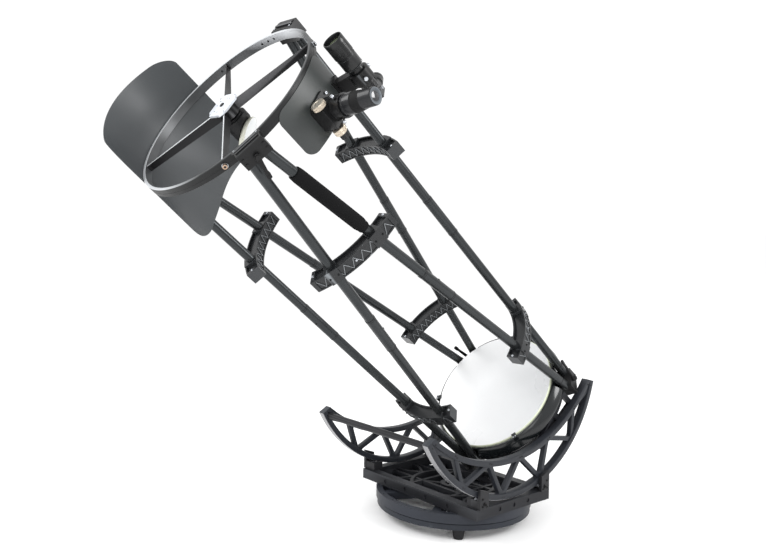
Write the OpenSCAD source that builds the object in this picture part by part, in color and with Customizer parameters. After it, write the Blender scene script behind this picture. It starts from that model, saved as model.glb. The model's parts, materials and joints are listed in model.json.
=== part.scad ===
// Collapsible truss-tube Dobsonian telescope with lattice altitude bearings.
// Millimetres, +Z up. The origin is on the floor, under the azimuth pivot.
// The tube leans toward -Y; the altitude axis runs along X.
// Tube parts are drawn in a tube frame: z along the optical axis toward the
// sky, x along the altitude axis, origin where the two cross.

/* [Pose] */
// Altitude of the optical axis in the rest pose, degrees
rest_altitude = 39; // [10:1:80]

/* [Base] */
// Height of the altitude axis above the floor
axis_h = 573; // [480:1:700]
// Outer radius of the ground board
ground_r = 264; // [200:1:340]
// Outer radius of the turntable
table_r = 268; // [200:1:340]
// Height of the rubber feet
foot_h = 33; // [15:1:60]
// Distance of each foot from the pivot
foot_ring_r = 242; // [150:1:250]
// Thickness of the ground board
ground_t = 18; // [10:1:30]
// Thickness of the glide pads between the boards
pad_t = 3; // [2:0.5:6]
// Thickness of the turntable
table_t = 31.7; // [20:0.1:50]
// Height of the rocker frame rails
rail_h = 34; // [20:1:60]
// Half length of the rocker frame along X
frame_x = 272; // [200:1:320]
// Half length of the rocker frame along Y
frame_y = 182; // [120:1:240]

/* [Altitude bearings] */
// Radius of the running surface
bearing_r = 450; // [350:1:520]
// Half the angle that each lattice bearing spans
bearing_half = 68; // [50:1:80]
// Radius of the concave inner edge
inner_r = 538; // [450:1:640]
// Distance of the inner edge centre from the altitude axis
inner_shift = 222; // [150:1:300]
// Distance from the middle plane to each bearing's middle
bearing_x = 253; // [200:1:300]
// Thickness of each bearing along X
bearing_t = 26; // [12:1:40]
// Radial width of the rims of each bearing
rim_w = 16; // [8:1:30]
// Radius of the altitude rollers
roller_r = 12; // [8:0.5:20]
// Angle from straight down to each roller
roller_angle = 18.95; // [12:0.05:30]

/* [Mirror end] */
// Radius of the primary mirror
mirror_r = 229; // [150:1:300]
// Thickness of the primary mirror
mirror_t = 40; // [20:1:60]
// Position of the mirror face on the optical axis
mirror_z = -261; // [-320:1:-150]
// Focal length of the primary mirror
focal = 1900; // [1200:10:2500]
// Outer radius of the mirror cell ring
cell_r = 256; // [200:1:320]

/* [Truss] */
// Radius of the truss poles
pole_r = 15; // [10:0.5:20]
// Wall of the truss poles
pole_wall = 1.5; // [1:0.25:4]
// Radius of the pole circle at the upper clamps
top_r = 325; // [260:1:360]
// Radius of the pole circle at the lower clamps
low_r = 255; // [220:1:300]
// Position of the upper pole nodes on the optical axis
top_z = 1194; // [900:1:1400]
// Position of the lower pole nodes on the optical axis
low_z = -372; // [-400:1:-330]
// Half the spacing of the two poles in an upper clamp
top_half = 20; // [17:0.5:30]
// Half the spacing of the two poles in a lower clamp
low_half = 17; // [16:0.5:30]
// Lower end of the joint sleeves on the optical axis
sleeve_z = 375; // [300:1:450]
// Length of the joint sleeves along the optical axis
sleeve_l = 150; // [80:1:200]
// Radial depth of the brace arcs
arc_w = 45; // [30:1:60]
// Height of the brace arcs along the optical axis
arc_h = 41; // [25:1:60]
// Half the angle that each brace arc spans
arc_half = 28.5; // [24:0.5:35]
// Outer radius of the upper brace arcs
arc_top_r = 309; // [280:1:330]
// Top of the upper brace arcs on the optical axis
arc_top_z = 765; // [600:1:900]
// Outer radius of the lower brace arcs
arc_low_r = 276; // [260:1:300]
// Top of the lower brace arcs on the optical axis
arc_low_z = 9; // [-60:1:60]

/* [Top end] */
// Outer radius of the upper ring
ring_r = 305; // [260:1:340]
// Radial width of the upper ring
ring_w = 9; // [4:0.5:15]
// Height of the upper ring along the optical axis
ring_h = 29; // [20:1:45]
// Top of the upper ring on the optical axis
ring_z = 1218; // [1000:1:1400]
// Direction of the focuser around the optical axis, degrees
focuser_angle = 10.5; // [-20:0.5:40]
// Distance of the focuser axis below the top of the ring
focuser_drop = 116; // [90:1:140]
// Radius of the secondary mirror's minor axis
secondary_r = 46; // [30:1:60]

/* [Hidden] */
$fn = 96;
seat_gap = 0.05;       // radial clearance of poles and pins seated in one body
run_gap = 0.05;        // radial clearance of turning and sliding fits
side_gap = 0.3;        // gap between flat or curved faces that pass each other
eps = 1;               // overshoot of cutting tools
strip_t = 2;           // thickness of the running strips
pivot_r = 8;           // azimuth pivot bolt
hub_r = 58;            // hubs of both boards
screw_r = 3.5;         // heads of the frame screws

pad_z = foot_h + ground_t;
table_z = pad_z + pad_t + side_gap;
frame_z = table_z + table_t;
block_z = frame_z + rail_h;
mid_angle = 226;       // bearing middle in the tube frame, from +y toward +z
core_r = bearing_r - strip_t;
roller_ring = bearing_r + side_gap + roller_r;
roller_y = roller_ring * sin(roller_angle);
roller_z = axis_h - roller_ring * cos(roller_angle);
bearing_in = bearing_x - bearing_t / 2;
bearing_out = bearing_x + bearing_t / 2;
top_phase = -30;
clamp_top_z = ring_z + 2;
clamp_top_h = 50;
clamp_top_d = 41;
clamp_low_z = -318;
clamp_low_h = 48;
clamp_low_in = 236;
clamp_low_out = 277;
clamp_wall = 6;
lever_r = 9;
lever_t = 12;
pin_r = 4;
focuser_z = ring_z - focuser_drop;
sheet_t = 2;
glass_t = 16;          // thickness of the secondary mirror
axle_off = -33;        // focuser axle, tangential offset from the drawtube
axle_rad = 338;        // focuser axle, distance from the optical axis
axle_r = 3;
drawtube_r = 27;
barrel_r = 25.4;       // two-inch barrel
shield_mid = 200.7;    // middle direction of the light shield
shield_low = 938;
shield_top = 1384;
shield_slope = 0.12;   // how fast the poles press the shield inward
finder_angle = 31;
finder_rad = 380;
finder_z = ring_z - 1;

// ---- places ------------------------------------------------------------

// Tube frame to floor frame
module on_tube() translate([0, 0, axis_h]) rotate([90 - rest_altitude, 0, 0]) children();

// Radial seat at an angle: x outward, y tangential, z toward the sky
module seat(a, r, z) rotate([0, 0, a]) translate([r, 0, z]) children();

// Radial axis at an angle: z outward from the optical axis
module radial(a, r, z) seat(a, r, z) rotate([0, 90, 0]) children();

// Depth of the mirror face below its rim at a distance from the axis
function mirror_sag(r) = (r * r - mirror_r * mirror_r) / (4 * focal);

function polar(r, a, z) = [r * cos(a), r * sin(a), z];
function tangent(a) = [-sin(a), cos(a), 0];
function top_angle(k) = top_phase + 120 * k;
function low_angle(k, s) = top_angle(k) + 60 * s;

// Axis point of pole (k, s): k counts the upper clamps, s is +1 or -1 for
// the pole that leaves toward larger or smaller angles
function top_node(k, s) = polar(top_r, top_angle(k), top_z) + s * top_half * tangent(top_angle(k));
function low_node(k, s) = polar(low_r, low_angle(k, s), low_z)
  - s * low_half * tangent(low_angle(k, s));
function pole_at(k, s, z) = top_node(k, s)
  + (low_node(k, s) - top_node(k, s)) * (top_z - z) / (top_z - low_z);

// Cylinder between two axis points
module rod(p, q, r) {
  d = q - p;
  translate(p) rotate([0, acos(d[2] / norm(d)), atan2(d[1], d[0])]) rotate([0, 0, 37])
    cylinder(r = r, h = norm(d));
}

// Part of pole (k, s) between two heights
module pole_rod(k, s, z0, z1, r) rod(pole_at(k, s, z0), pole_at(k, s, z1), r);

module tube(ro, ri, h) difference() {
  cylinder(r = ro, h = h);
  translate([0, 0, -eps]) cylinder(r = ri, h = h + 2 * eps);
}

// ---- base --------------------------------------------------------------

// Bars of width w from radius r0 to r1
module spokes(n, a0, r0, r1, w, h) for (i = [0 : n - 1])
  rotate([0, 0, a0 + i * 360 / n]) translate([r0, -w / 2, 0]) cube([r1 - r0, w, h]);

module foot_places() for (i = [0 : 2]) rotate([0, 0, -42 + 120 * i]) children();

module ground_ring() color("#2b2e33") difference() {
  union() {
    translate([0, 0, foot_h]) tube(ground_r, ground_r - 62, ground_t);
    translate([0, 0, foot_h]) cylinder(r = hub_r, h = ground_t);
    translate([0, 0, foot_h + 2]) spokes(3, -42, 40, ground_r - 30, 54, ground_t - 4);
    foot_places() translate([ground_r - 34, 0, foot_h]) cylinder(r = 16, h = ground_t + pad_t);
    translate([0, 0, foot_h]) cylinder(r = 22, h = ground_t + pad_t);
  }
  translate([0, 0, foot_h - eps]) cylinder(r = pivot_r + seat_gap, h = ground_t + pad_t + 2 * eps);
}

module feet() color("#191a1c") foot_places() translate([foot_ring_r, 0, 0]) {
  cylinder(r1 = 16, r2 = 21, h = foot_h - 3);
  translate([0, 0, foot_h - 3]) cylinder(r = 21, h = 3);
}

module pivot_bolt() color("#8d9094") {
  translate([0, 0, foot_h - 8]) cylinder(r = 15, h = 8, $fn = 6);
  translate([0, 0, foot_h]) cylinder(r = pivot_r, h = frame_z - foot_h + 2);
  translate([0, 0, frame_z + 2]) cylinder(r = 17, h = 6);
}

module turntable() color("#2e3238") difference() {
  translate([0, 0, table_z]) union() {
    tube(table_r, table_r - 22, table_t);
    translate([0, 0, 8]) tube(table_r - 21, table_r - 50, 6);
    cylinder(r = hub_r, h = table_t);
    translate([0, 0, 2]) spokes(6, 0, 40, table_r - 10, 30, table_t - 8);
  }
  translate([0, 0, table_z - eps]) cylinder(r = pivot_r + run_gap, h = table_t + 2 * eps);
}

// Bar from one plan point to another on the rocker frame
module plan_bar(p, q, w, h) {
  d = q - p;
  translate([p[0], p[1], 0]) rotate([0, 0, atan2(d[1], d[0])])
    translate([0, -w / 2, 0]) cube([norm(d), w, h]);
}

module rocker_frame() color("#26282c") {
  rail_w = 34;
  inner_x = frame_x - rail_w;
  inner_y = frame_y - rail_w;
  difference() {
    translate([-frame_x, -frame_y, frame_z]) cube([2 * frame_x, 2 * frame_y, rail_h]);
    translate([-inner_x, -inner_y, frame_z - eps]) cube([2 * inner_x, 2 * inner_y, rail_h + 2 * eps]);
    for (sx = [-1, 1]) for (y = [-70, 0, 70])
      translate([sx * frame_x, y, frame_z + rail_h / 2]) rotate([0, 90, 0])
        cylinder(r = 7, h = 6, center = true);
    for (sy = [-1, 1]) for (x = [-150, -50, 50, 150])
      translate([x, sy * frame_y, frame_z + rail_h / 2]) rotate([90, 0, 0])
        cylinder(r = 7, h = 6, center = true);
  }
  translate([0, 0, frame_z]) intersection() {
    union() {
      tube(150, 138, 20);
      for (s = [-1, 1]) {
        plan_bar([-inner_x - 5, s * 60], [inner_x + 5, s * 60], 12, 16);
        plan_bar([s * 90, -inner_y - 5], [s * 90, inner_y + 5], 12, 17);
        plan_bar([-inner_x - 20, -s * (inner_y + 15)], [inner_x + 20, s * (inner_y + 15)], 12, 14);
        for (t = [-1, 1]) translate([t * inner_x, s * 60, 0]) tube(104, 94, 18);
      }
      tube(44, 26, 18);
    }
    translate([-inner_x - 2, -inner_y - 2, 0]) cube([2 * inner_x + 4, 2 * inner_y + 4, rail_h]);
    difference() {
      cylinder(r = 400, h = rail_h);
      translate([0, 0, -eps]) cylinder(r = 26, h = rail_h);
    }
  }
}

// Roller fork over the frame corner; sx and sy pick the corner
module block(sx, sy) {
  y0 = roller_y - 18;
  y1 = frame_y - 10;
  out_x = bearing_out + 2.5;
  tall = 66;
  low = 29;
  color("#2c2f33") mirror([sx < 0 ? 1 : 0, 0, 0]) mirror([0, sy < 0 ? 1 : 0, 0]) {
    difference() {
      translate([out_x, y0, block_z]) cube([11, y1 - y0, tall]);
      translate([out_x - eps, y0, block_z + tall - (y1 - y0) * tan(roller_angle)])
        rotate([roller_angle, 0, 0]) translate([0, -40, 0]) cube([20, 120, 40]);
      for (z = [10, 34]) translate([out_x + 11, y1 - 9, block_z + z]) rotate([0, 90, 0])
        cylinder(r = screw_r, h = 4, center = true);
    }
    translate([bearing_in - 17, y0, block_z]) cube([14, y1 - y0, low]);
    translate([bearing_in - 12, y1 - 8, block_z]) cube([out_x - bearing_in + 17, 7, low - 2]);
    translate([bearing_in - 10, roller_y, roller_z]) rotate([0, 90, 0])
      cylinder(r = 5, h = out_x - bearing_in + 15);
    for (z = [10, 34]) translate([out_x + 9, y1 - 9, block_z + z]) rotate([0, 90, 0])
      cylinder(r = screw_r - 0.8, h = 1.5);
  }
}

module block_front_right() block(1, -1);
module block_front_left() block(-1, -1);
module block_rear_right() block(1, 1);
module block_rear_left() block(-1, 1);

module roller(sx, sy) color("#b9bcc0")
  translate([sx * bearing_x - bearing_t / 2, sy * roller_y, roller_z])
  rotate([0, 90, 0]) tube(roller_r, 5 + run_gap, bearing_t);

module roller_front_right() roller(1, -1);
module roller_front_left() roller(-1, -1);
module roller_rear_right() roller(1, 1);
module roller_rear_left() roller(-1, 1);

// ---- altitude bearings -------------------------------------------------

// Bearing frame: x along the altitude axis, -z through the bearing's middle
module bearing_frame() rotate([mid_angle - 270, 0, 0]) children();

module across(x, w) translate([x - w / 2, 0, 0]) rotate([0, 90, 0]) children();

// Distance of the inner edge from the altitude axis at an angle from the middle
function inner_at(a) = -inner_shift * cos(a)
  + sqrt(inner_r * inner_r - pow(inner_shift * sin(a), 2));
function on_bearing(r, a) = [0, r * sin(a), -r * cos(a)];

// Straight lattice strut between two points of the bearing plane
module strut(p, q, x, t, w) {
  d = q - p;
  translate([x - t / 2, p[1], p[2]]) rotate([atan2(d[2], d[1]), 0, 0])
    translate([0, 0, -w / 2]) cube([t, norm(d), w]);
}

module crescent(sx) {
  x = sx * bearing_x;
  n = 10;
  step = 2 * (bearing_half - 3) / n;
  in_mid = rim_w / 2;
  color("#33373d") on_tube() bearing_frame() {
    difference() {
      across(x, bearing_t) cylinder(r = core_r, h = bearing_t);
      across(x, bearing_t + 2) cylinder(r = core_r - rim_w, h = bearing_t + 2);
      bearing_cut(x);
    }
    difference() {
      translate([0, 0, inner_shift]) across(x, bearing_t) cylinder(r = inner_r + rim_w, h = bearing_t);
      translate([0, 0, inner_shift]) across(x, bearing_t + 2) cylinder(r = inner_r, h = bearing_t + 2);
      difference() {
        across(x, bearing_t + 2) cylinder(r = 900, h = bearing_t + 2);
        across(x, bearing_t + 4) cylinder(r = core_r - 1, h = bearing_t + 4);
      }
      bearing_cut(x);
    }
    for (i = [0 : n - 1]) {
      a = -bearing_half + 3 + i * step;
      b = a + step;
      up = i % 2;
      p = on_bearing(up ? inner_at(a) + in_mid : core_r - in_mid, a);
      q = on_bearing(up ? core_r - in_mid : inner_at(b) + in_mid, b);
      strut(p, q, x, bearing_t - 8 - 0.8 * up, 13);
    }
    for (s = [-1, 1]) strut(on_bearing(inner_at(bearing_half) + 1, s * (bearing_half - 1)),
      on_bearing(core_r - 2, s * (bearing_half - 1)), x, bearing_t - 2, 12);
  }
}

// Half space above the bearing's two end lines
module bearing_cut(x) for (s = [-1, 1]) translate([x - bearing_t, 0, 0])
  rotate([s * bearing_half, 0, 0]) translate([0, s > 0 ? 0 : -900, -900])
  cube([2 * bearing_t, 900, 1800]);

module crescent_right() crescent(1);
module crescent_left() crescent(-1);

module running_strips() color("#c3c6c9") on_tube() bearing_frame() for (sx = [-1, 1]) difference() {
  across(sx * bearing_x, bearing_t - 4) cylinder(r = bearing_r, h = bearing_t - 4);
  across(sx * bearing_x, bearing_t) cylinder(r = core_r, h = bearing_t);
  bearing_cut(sx * bearing_x);
}

module tie_bar() color("#1d1f22") on_tube() bearing_frame()
  translate(on_bearing(430, -(bearing_half - 3.2))) {
    across(0, 2 * bearing_in) cylinder(r = 11, h = 2 * bearing_in);
    for (s = [-1, 1]) for (y = [-4, 4])
      translate([s * (bearing_in - 16), y, 10]) cylinder(r = 2.5, h = 2.5);
  }

// ---- mirror end --------------------------------------------------------

module primary_mirror() color("#e9ecef") on_tube() translate([0, 0, mirror_z]) {
  rings = 12;
  rotate_extrude() polygon(concat([[0, -mirror_t]], [[mirror_r, -mirror_t]],
    [for (i = [rings : -1 : 0]) [mirror_r * i / rings, mirror_sag(mirror_r * i / rings)]]));
}

module mirror_cell() color("#202226") on_tube() difference() {
  union() {
    translate([0, 0, mirror_z - 39]) tube(cell_r, mirror_r + 2, 32);
    translate([0, 0, clamp_low_z]) tube(mirror_r + 7, mirror_r + 2, mirror_z - 39 - clamp_low_z + 1);
    translate([0, 0, mirror_z - 46]) tube(cell_r - 9, mirror_r + 4, 8);
    for (i = [0 : 2]) seat(-40 + 120 * i, 0, 0) {
      translate([mirror_r - 5, -8, mirror_z]) cube([22, 16, 3]);
      translate([mirror_r + 2.5, -8, mirror_z - 8]) cube([14.5, 16, 10]);
    }
  }
  for (k = [0 : 2]) rotate([0, 0, top_angle(k) + 60])
    translate([mirror_r + 6, -54, clamp_low_z - 1]) cube([60, 108, 80]);
}

module cell_frame() color("#25272b") on_tube() {
  z0 = clamp_low_z - 27;
  difference() {
    translate([0, 0, z0]) cylinder(r = clamp_low_in, h = 27);
    translate([0, 0, z0 - eps]) cylinder(r = clamp_low_in - 30, h = 27 + 2 * eps);
  }
  translate([0, 0, z0]) difference() {
    union() {
      cylinder(r = 62, h = 12);
      translate([0, 0, 1]) spokes(3, 30, 40, clamp_low_in - 20, 34, 10);
      translate([0, 0, 1]) spokes(3, 90, 40, clamp_low_in - 20, 20, 9);
    }
    translate([0, 0, -eps]) cylinder(r = 34, h = 14);
  }
  for (i = [0 : 5]) rotate([0, 0, 30 + 60 * i]) translate([i % 2 ? 110 : 168, 0, z0 + 11]) {
    cylinder(r = 7, h = mirror_z - mirror_t - z0 - 11);
    translate([0, 0, mirror_z - mirror_t - z0 - 16]) cylinder(r = 15, h = 5);
  }
  for (i = [0 : 2]) rotate([0, 0, 90 + 120 * i]) translate([190, 0, z0 - 22]) {
    cylinder(r = 6, h = 24);
    translate([0, 0, -10]) cylinder(r = 15, h = 12);
  }
  for (sx = [-1, 1]) translate([sx * (bearing_in - 7) - 7, 0, 0]) difference() {
    rotate([90, 0, 90]) linear_extrude(height = 14)
      polygon([[-150, -319], [78, -319], [78, -388], [52, -392], [-140, -345]]);
    rotate([90, 0, 90]) translate([0, 0, -eps]) linear_extrude(height = 16)
      polygon([[-90, -328], [-20, -328], [-20, -356]]);
    rotate([90, 0, 90]) translate([0, 0, -eps]) linear_extrude(height = 16)
      polygon([[60, -328], [60, -374], [0, -360], [0, -328]]);
  }
}

// ---- truss -------------------------------------------------------------

// Poles that end in one lower clamp, below their sleeves; k counts the
// lower clamps, which lie 60 degrees past the upper clamps
module lower_poles(k) color("#3d4144") on_tube() for (s = [-1, 1]) {
  top_k = s > 0 ? k : k + 1;
  difference() {
    union() {
      pole_rod(top_k, s, clamp_low_z - clamp_low_h, sleeve_z, pole_r);
      pole_rod(top_k, s, sleeve_z - 20, sleeve_z + 60, pole_r - 3);
    }
    pole_rod(top_k, s, clamp_low_z - clamp_low_h - 2, sleeve_z - 30, pole_r - pole_wall);
  }
}

module lower_poles_right() lower_poles(0);
module lower_poles_left() lower_poles(1);
module lower_poles_front() lower_poles(2);

module upper_poles(k) color("#3d4144") on_tube() for (s = [-1, 1]) difference() {
  union() {
    pole_rod(k, s, sleeve_z, clamp_top_z - 12, pole_r);
    pole_rod(k, s, sleeve_z, sleeve_z + sleeve_l, pole_r + 1);
  }
  pole_rod(k, s, sleeve_z - 2, sleeve_z + 64, pole_r - 3 + seat_gap);
  pole_rod(k, s, sleeve_z + 70, clamp_top_z - 10, pole_r - pole_wall);
}

module upper_poles_right() upper_poles(0);
module upper_poles_back() upper_poles(1);
module upper_poles_left() upper_poles(2);

module foam_grip() color("#131415") on_tube() difference() {
  pole_rod(0, 1, 790, 1070, 23);
  pole_rod(0, 1, 785, 1075, pole_r + seat_gap);
}

// Curved brace between the two poles of a pair: walls, floor, end blocks
// and a row of triangular pockets around both faces
module brace(a0, r_out, z_top) {
  r_in = r_out - arc_w;
  mid_z = z_top - arc_h / 2;
  n = 9;
  wall = 5;
  difference() {
    intersection() {
      translate([0, 0, z_top - arc_h]) tube(r_out, r_in, arc_h);
      arc_wedge(a0, arc_half, r_out + 5, z_top - arc_h - 1, arc_h + 2);
    }
    intersection() {
      translate([0, 0, z_top - 9]) tube(r_out - wall, r_in + wall, 20);
      arc_wedge(a0, arc_half - 2.2, r_out + 5, z_top - 10, 30);
    }
    intersection() {
      translate([0, 0, z_top - arc_h - 11]) tube(r_out - wall, r_in + wall, 20);
      arc_wedge(a0, arc_half - 2.2, r_out + 5, z_top - arc_h - 12, 30);
    }
    for (i = [0 : n - 1]) {
      a = a0 + (i - (n - 1) / 2) * (2 * arc_half - 8) / n;
      flip = i % 2 ? 180 : 0;
      radial(a, r_out - 4, mid_z) rotate([0, 0, flip]) cylinder(r = 15, h = 8, $fn = 3);
      radial(a, r_in - 5, mid_z) rotate([0, 0, flip]) cylinder(r = 13, h = 8, $fn = 3);
    }
  }
  for (s = [-1, 1]) seat(a0 + s * (arc_half - 1.3), r_out - arc_w / 2, z_top - 2)
    cylinder(r = 4, h = 5);
}

// Wedge of half angle h about direction a
module arc_wedge(a, h, r, z0, dz) translate([0, 0, z0]) intersection() {
  rotate([0, 0, a - h]) cube([r, r, dz]);
  rotate([0, 0, a + h - 90]) cube([r, r, dz]);
}

module lower_arc(k) color("#2a2c2e") on_tube() difference() {
  brace(top_angle(k) + 60, arc_low_r, arc_low_z);
  pole_rod(k, 1, arc_low_z - arc_h - 9, arc_low_z + 9, pole_r + seat_gap);
  pole_rod(k + 1, -1, arc_low_z - arc_h - 9, arc_low_z + 9, pole_r + seat_gap);
}

module lower_arc_right() lower_arc(0);
module lower_arc_left() lower_arc(1);
module lower_arc_front() lower_arc(2);

module upper_arc(k) color("#2a2c2e") on_tube() difference() {
  brace(top_angle(k), arc_top_r, arc_top_z);
  for (s = [-1, 1]) pole_rod(k, s, arc_top_z - arc_h - 9, arc_top_z + 9, pole_r + seat_gap);
}

module upper_arc_right() upper_arc(0);
module upper_arc_back() upper_arc(1);
module upper_arc_left() upper_arc(2);

// Two-pole clamp block with lever pin; pin on the outer face
module clamp_pin(x, z) translate([x, 0, z]) rotate([0, 90, 0]) {
  translate([0, 0, -1]) cylinder(r = pin_r, h = lever_t + 2 * side_gap + 2);
  translate([0, 0, lever_t + 2 * side_gap]) cylinder(r = 6.5, h = 3);
}

// The left one clamps the light shield against the ring
module clamp_top(k, under = 0) {
  half = top_half + pole_r + clamp_wall;
  z0 = clamp_top_z - clamp_top_h;
  outer = ring_r + clamp_top_d;
  color("#1b1c1e") on_tube() difference() {
    union() {
      seat(top_angle(k), 0, 0) {
        translate([ring_r - 6, -half, z0]) cube([clamp_top_d + 6, 2 * half, clamp_top_h]);
        translate([ring_r - 6, -half - 5, clamp_top_z - 7]) cube([22, 2 * half + 10, 7]);
        translate([ring_r + 24, -half + 4, clamp_top_z - 1]) cube([8, 2 * half - 8, 4]);
        clamp_pin(outer, z0 + 16);
        for (s = [-1, 1]) for (z = [14, 30]) translate([outer - 1, s * (half - 8), z0 + z])
          rotate([0, 90, 0]) cylinder(r = screw_r, h = 4);
      }
    }
    translate([0, 0, z0 - eps]) cylinder(r = ring_r + under, h = clamp_top_h + 10);
    for (s = [-1, 1]) pole_rod(k, s, z0 - 12, clamp_top_z - 12, pole_r + seat_gap);
    seat(top_angle(k), 0, 0) translate([ring_r + 10, -3, z0 - eps])
      cube([clamp_top_d + 4 - 10, 2, clamp_top_h - 26]);
  }
}

module clamp_top_right() clamp_top(0);
module clamp_top_back() clamp_top(1);
module clamp_top_left() clamp_top(2, sheet_t + 0.5);

module clamp_low(k) {
  half = low_half + pole_r + clamp_wall;
  z0 = clamp_low_z - clamp_low_h;
  a = top_angle(k) + 60;
  color("#1b1c1e") on_tube() difference() {
    union() seat(a, 0, 0) {
      translate([clamp_low_in - 12, -half, z0]) cube([clamp_low_out - clamp_low_in + 12, 2 * half, clamp_low_h]);
      clamp_pin(clamp_low_out, clamp_low_z - 14);
      for (s = [-1, 1]) translate([clamp_low_out - 1, s * (half - 7), z0 + 12])
        rotate([0, 90, 0]) cylinder(r = screw_r, h = 4);
    }
    translate([0, 0, z0 - eps]) cylinder(r = clamp_low_in, h = clamp_low_h + 10);
    pole_rod(k, 1, z0 - 4, clamp_low_z + 12, pole_r + seat_gap);
    pole_rod(k + 1, -1, z0 - 4, clamp_low_z + 12, pole_r + seat_gap);
  }
}

module clamp_low_right() clamp_low(0);
module clamp_low_left() clamp_low(1);
module clamp_low_front() clamp_low(2);

// Ratchet lever about the clamp pin; z is the pin axis, x the arm
module lever(length) difference() {
  union() {
    cylinder(r = lever_r, h = lever_t);
    translate([0, -4.5, 3]) cube([length, 9, 6]);
    translate([length, 0, 2]) cylinder(r = 6, h = 8);
  }
  translate([0, 0, -eps]) cylinder(r = pin_r + run_gap, h = lever_t + 2 * eps);
}

module lever_top(k) color("#0f1011") on_tube()
  radial(top_angle(k), ring_r + clamp_top_d + side_gap, clamp_top_z - clamp_top_h + 16)
  rotate([0, 0, -12]) lever(62);

module lever_top_right() lever_top(0);
module lever_top_back() lever_top(1);
module lever_top_left() lever_top(2);

module lever_low(k) color("#0f1011") on_tube()
  radial(top_angle(k) + 60, clamp_low_out + side_gap, clamp_low_z - 14)
  rotate([0, 0, 172]) lever(88);

module lever_low_right() lever_low(0);
module lever_low_left() lever_low(1);
module lever_low_front() lever_low(2);

// ---- top end -----------------------------------------------------------

module upper_ring() color("#8e9398") on_tube() difference() {
  translate([0, 0, ring_z - ring_h]) tube(ring_r, ring_r - ring_w, ring_h);
  for (i = [0 : 3]) radial(45 + 90 * i, ring_r - ring_w - eps, ring_z - 16)
    cylinder(r = 3, h = ring_w + 2 * eps);
  for (a = [100, 104, 108, 140, 300, 306]) radial(a, ring_r - ring_w - eps, ring_z - ring_h / 2)
    cylinder(r = 3, h = ring_w + 2 * eps);
}

// Rounded rectangle on a cylinder of radius r, cut from a thin tube
module wrapped(a0, half_w, z0, z1, corner, r) intersection() {
  translate([0, 0, z0 - 5]) tube(r + sheet_t, r, z1 - z0 + 10);
  seat(a0, 0, 0) rotate([90, 0, 90]) linear_extrude(height = r + 20) union() {
    translate([-half_w, z0 + corner]) square([2 * half_w, z1 - z0 - 2 * corner]);
    translate([-half_w + corner, z0]) square([2 * (half_w - corner), z1 - z0]);
    for (s = [-1, 1]) for (z = [z0 + corner, z1 - corner])
      translate([s * (half_w - corner), z]) circle(r = corner);
  }
}

// Inner radius of the flexible light shield: it hugs the ring and is pushed
// inward by the two poles that converge below the left clamp
function shield_press(a) = abs(a) < 42 ? 1.3 * pow(cos(90 * a / 42), 2) - 0.3 : -0.3;
function shield_r(a, z) = ring_r + side_gap
  - shield_slope * max(0, ring_z - ring_h - z) * shield_press(a - top_angle(2));

// Outline of the shield seen along its middle direction: x tangential, y up
module shield_outline() hull() {
  translate([165, shield_low + 57]) circle(r = 57);
  translate([-157, shield_low + 57]) circle(r = 57);
  translate([150, shield_top - 94]) circle(r = 60);
  translate([134, shield_top - 62]) circle(r = 50);
  translate([-75, shield_top - 80]) circle(r = 80);
  translate([-196, shield_top - 66]) circle(r = 18);
}

module shield_sheet() {
  n = 28;
  rows = concat([for (i = [0 : 6]) shield_low - 5 + i * (ring_z - ring_h - shield_low + 5) / 6],
    [shield_top + 5]);
  m = len(rows);
  w = n + 1;
  pts = [for (t = [0, sheet_t]) for (z = rows) for (i = [0 : n])
    polar(shield_r(shield_mid - 50 + 100 * i / n, z) + t, shield_mid - 50 + 100 * i / n, z)];
  polyhedron(points = pts, faces = concat(
    [for (j = [0 : m - 2]) for (i = [0 : n - 1]) each quad(j * w + i, j * w + i + 1, w)],
    [for (j = [0 : m - 2]) for (i = [0 : n - 1]) each flip_quad(m * w + j * w + i, m * w + j * w + i + 1, w)],
    [for (i = [0 : n - 1]) each rim(i, i + 1, m * w)],
    [for (i = [0 : n - 1]) each rim((m - 1) * w + i + 1, (m - 1) * w + i, m * w)],
    [for (j = [0 : m - 2]) each rim((j + 1) * w, j * w, m * w)],
    [for (j = [0 : m - 2]) each rim(j * w + n, (j + 1) * w + n, m * w)]));
}

// Two triangles of one grid cell, seen from inside or from outside
function quad(a, b, w) = [[a, b, b + w], [a, b + w, a + w]];
function flip_quad(a, b, w) = [[a, b + w, b], [a, a + w, b + w]];
function rim(a, b, w) = [[a, b + w, b], [a, a + w, b + w]];

module light_shield() color("#474b4d") on_tube() difference() {
  intersection() {
    shield_sheet();
    seat(shield_mid, 0, 0) rotate([90, 0, 90]) linear_extrude(height = ring_r + 30)
      shield_outline();
  }
  radial(225, ring_r - 4, ring_z - 16) cylinder(r = 4, h = 10);
}

module focuser_board() color("#3b3f41") on_tube() difference() {
  wrapped(11.5, 125, ring_z - 165, ring_z - 12, 30, ring_r);
  radial(focuser_angle, ring_r - 10, focuser_z) cylinder(r = drawtube_r + 3, h = 30);
}

module vane(a) rotate([0, 0, a]) translate([0, 1, 0]) rotate([90, 0, 0]) linear_extrude(height = 2)
  polygon([[26, ring_z - 3], [ring_r - ring_w, ring_z - 5],
    [ring_r - ring_w, ring_z - 24], [26, ring_z - 33]]);

module spider() color("#17181a") on_tube() {
  for (i = [0 : 3]) {
    vane(45 + 90 * i);
    radial(45 + 90 * i, ring_r - ring_w - 3, ring_z - 16) cylinder(r = 3 - seat_gap, h = ring_w + 6);
    radial(45 + 90 * i, ring_r + 2.2, ring_z - 16) cylinder(r = 7, h = 5);
    seat(45 + 90 * i, ring_r - ring_w - 9, ring_z - 22) translate([0, -3, 0]) cube([8.5, 6, 15]);
  }
  difference() {
    translate([0, 0, ring_z - 34]) cylinder(r = 30, h = 32);
    translate([0, 0, ring_z - 36]) cylinder(r = 6 + seat_gap, h = 40);
  }
}

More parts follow.
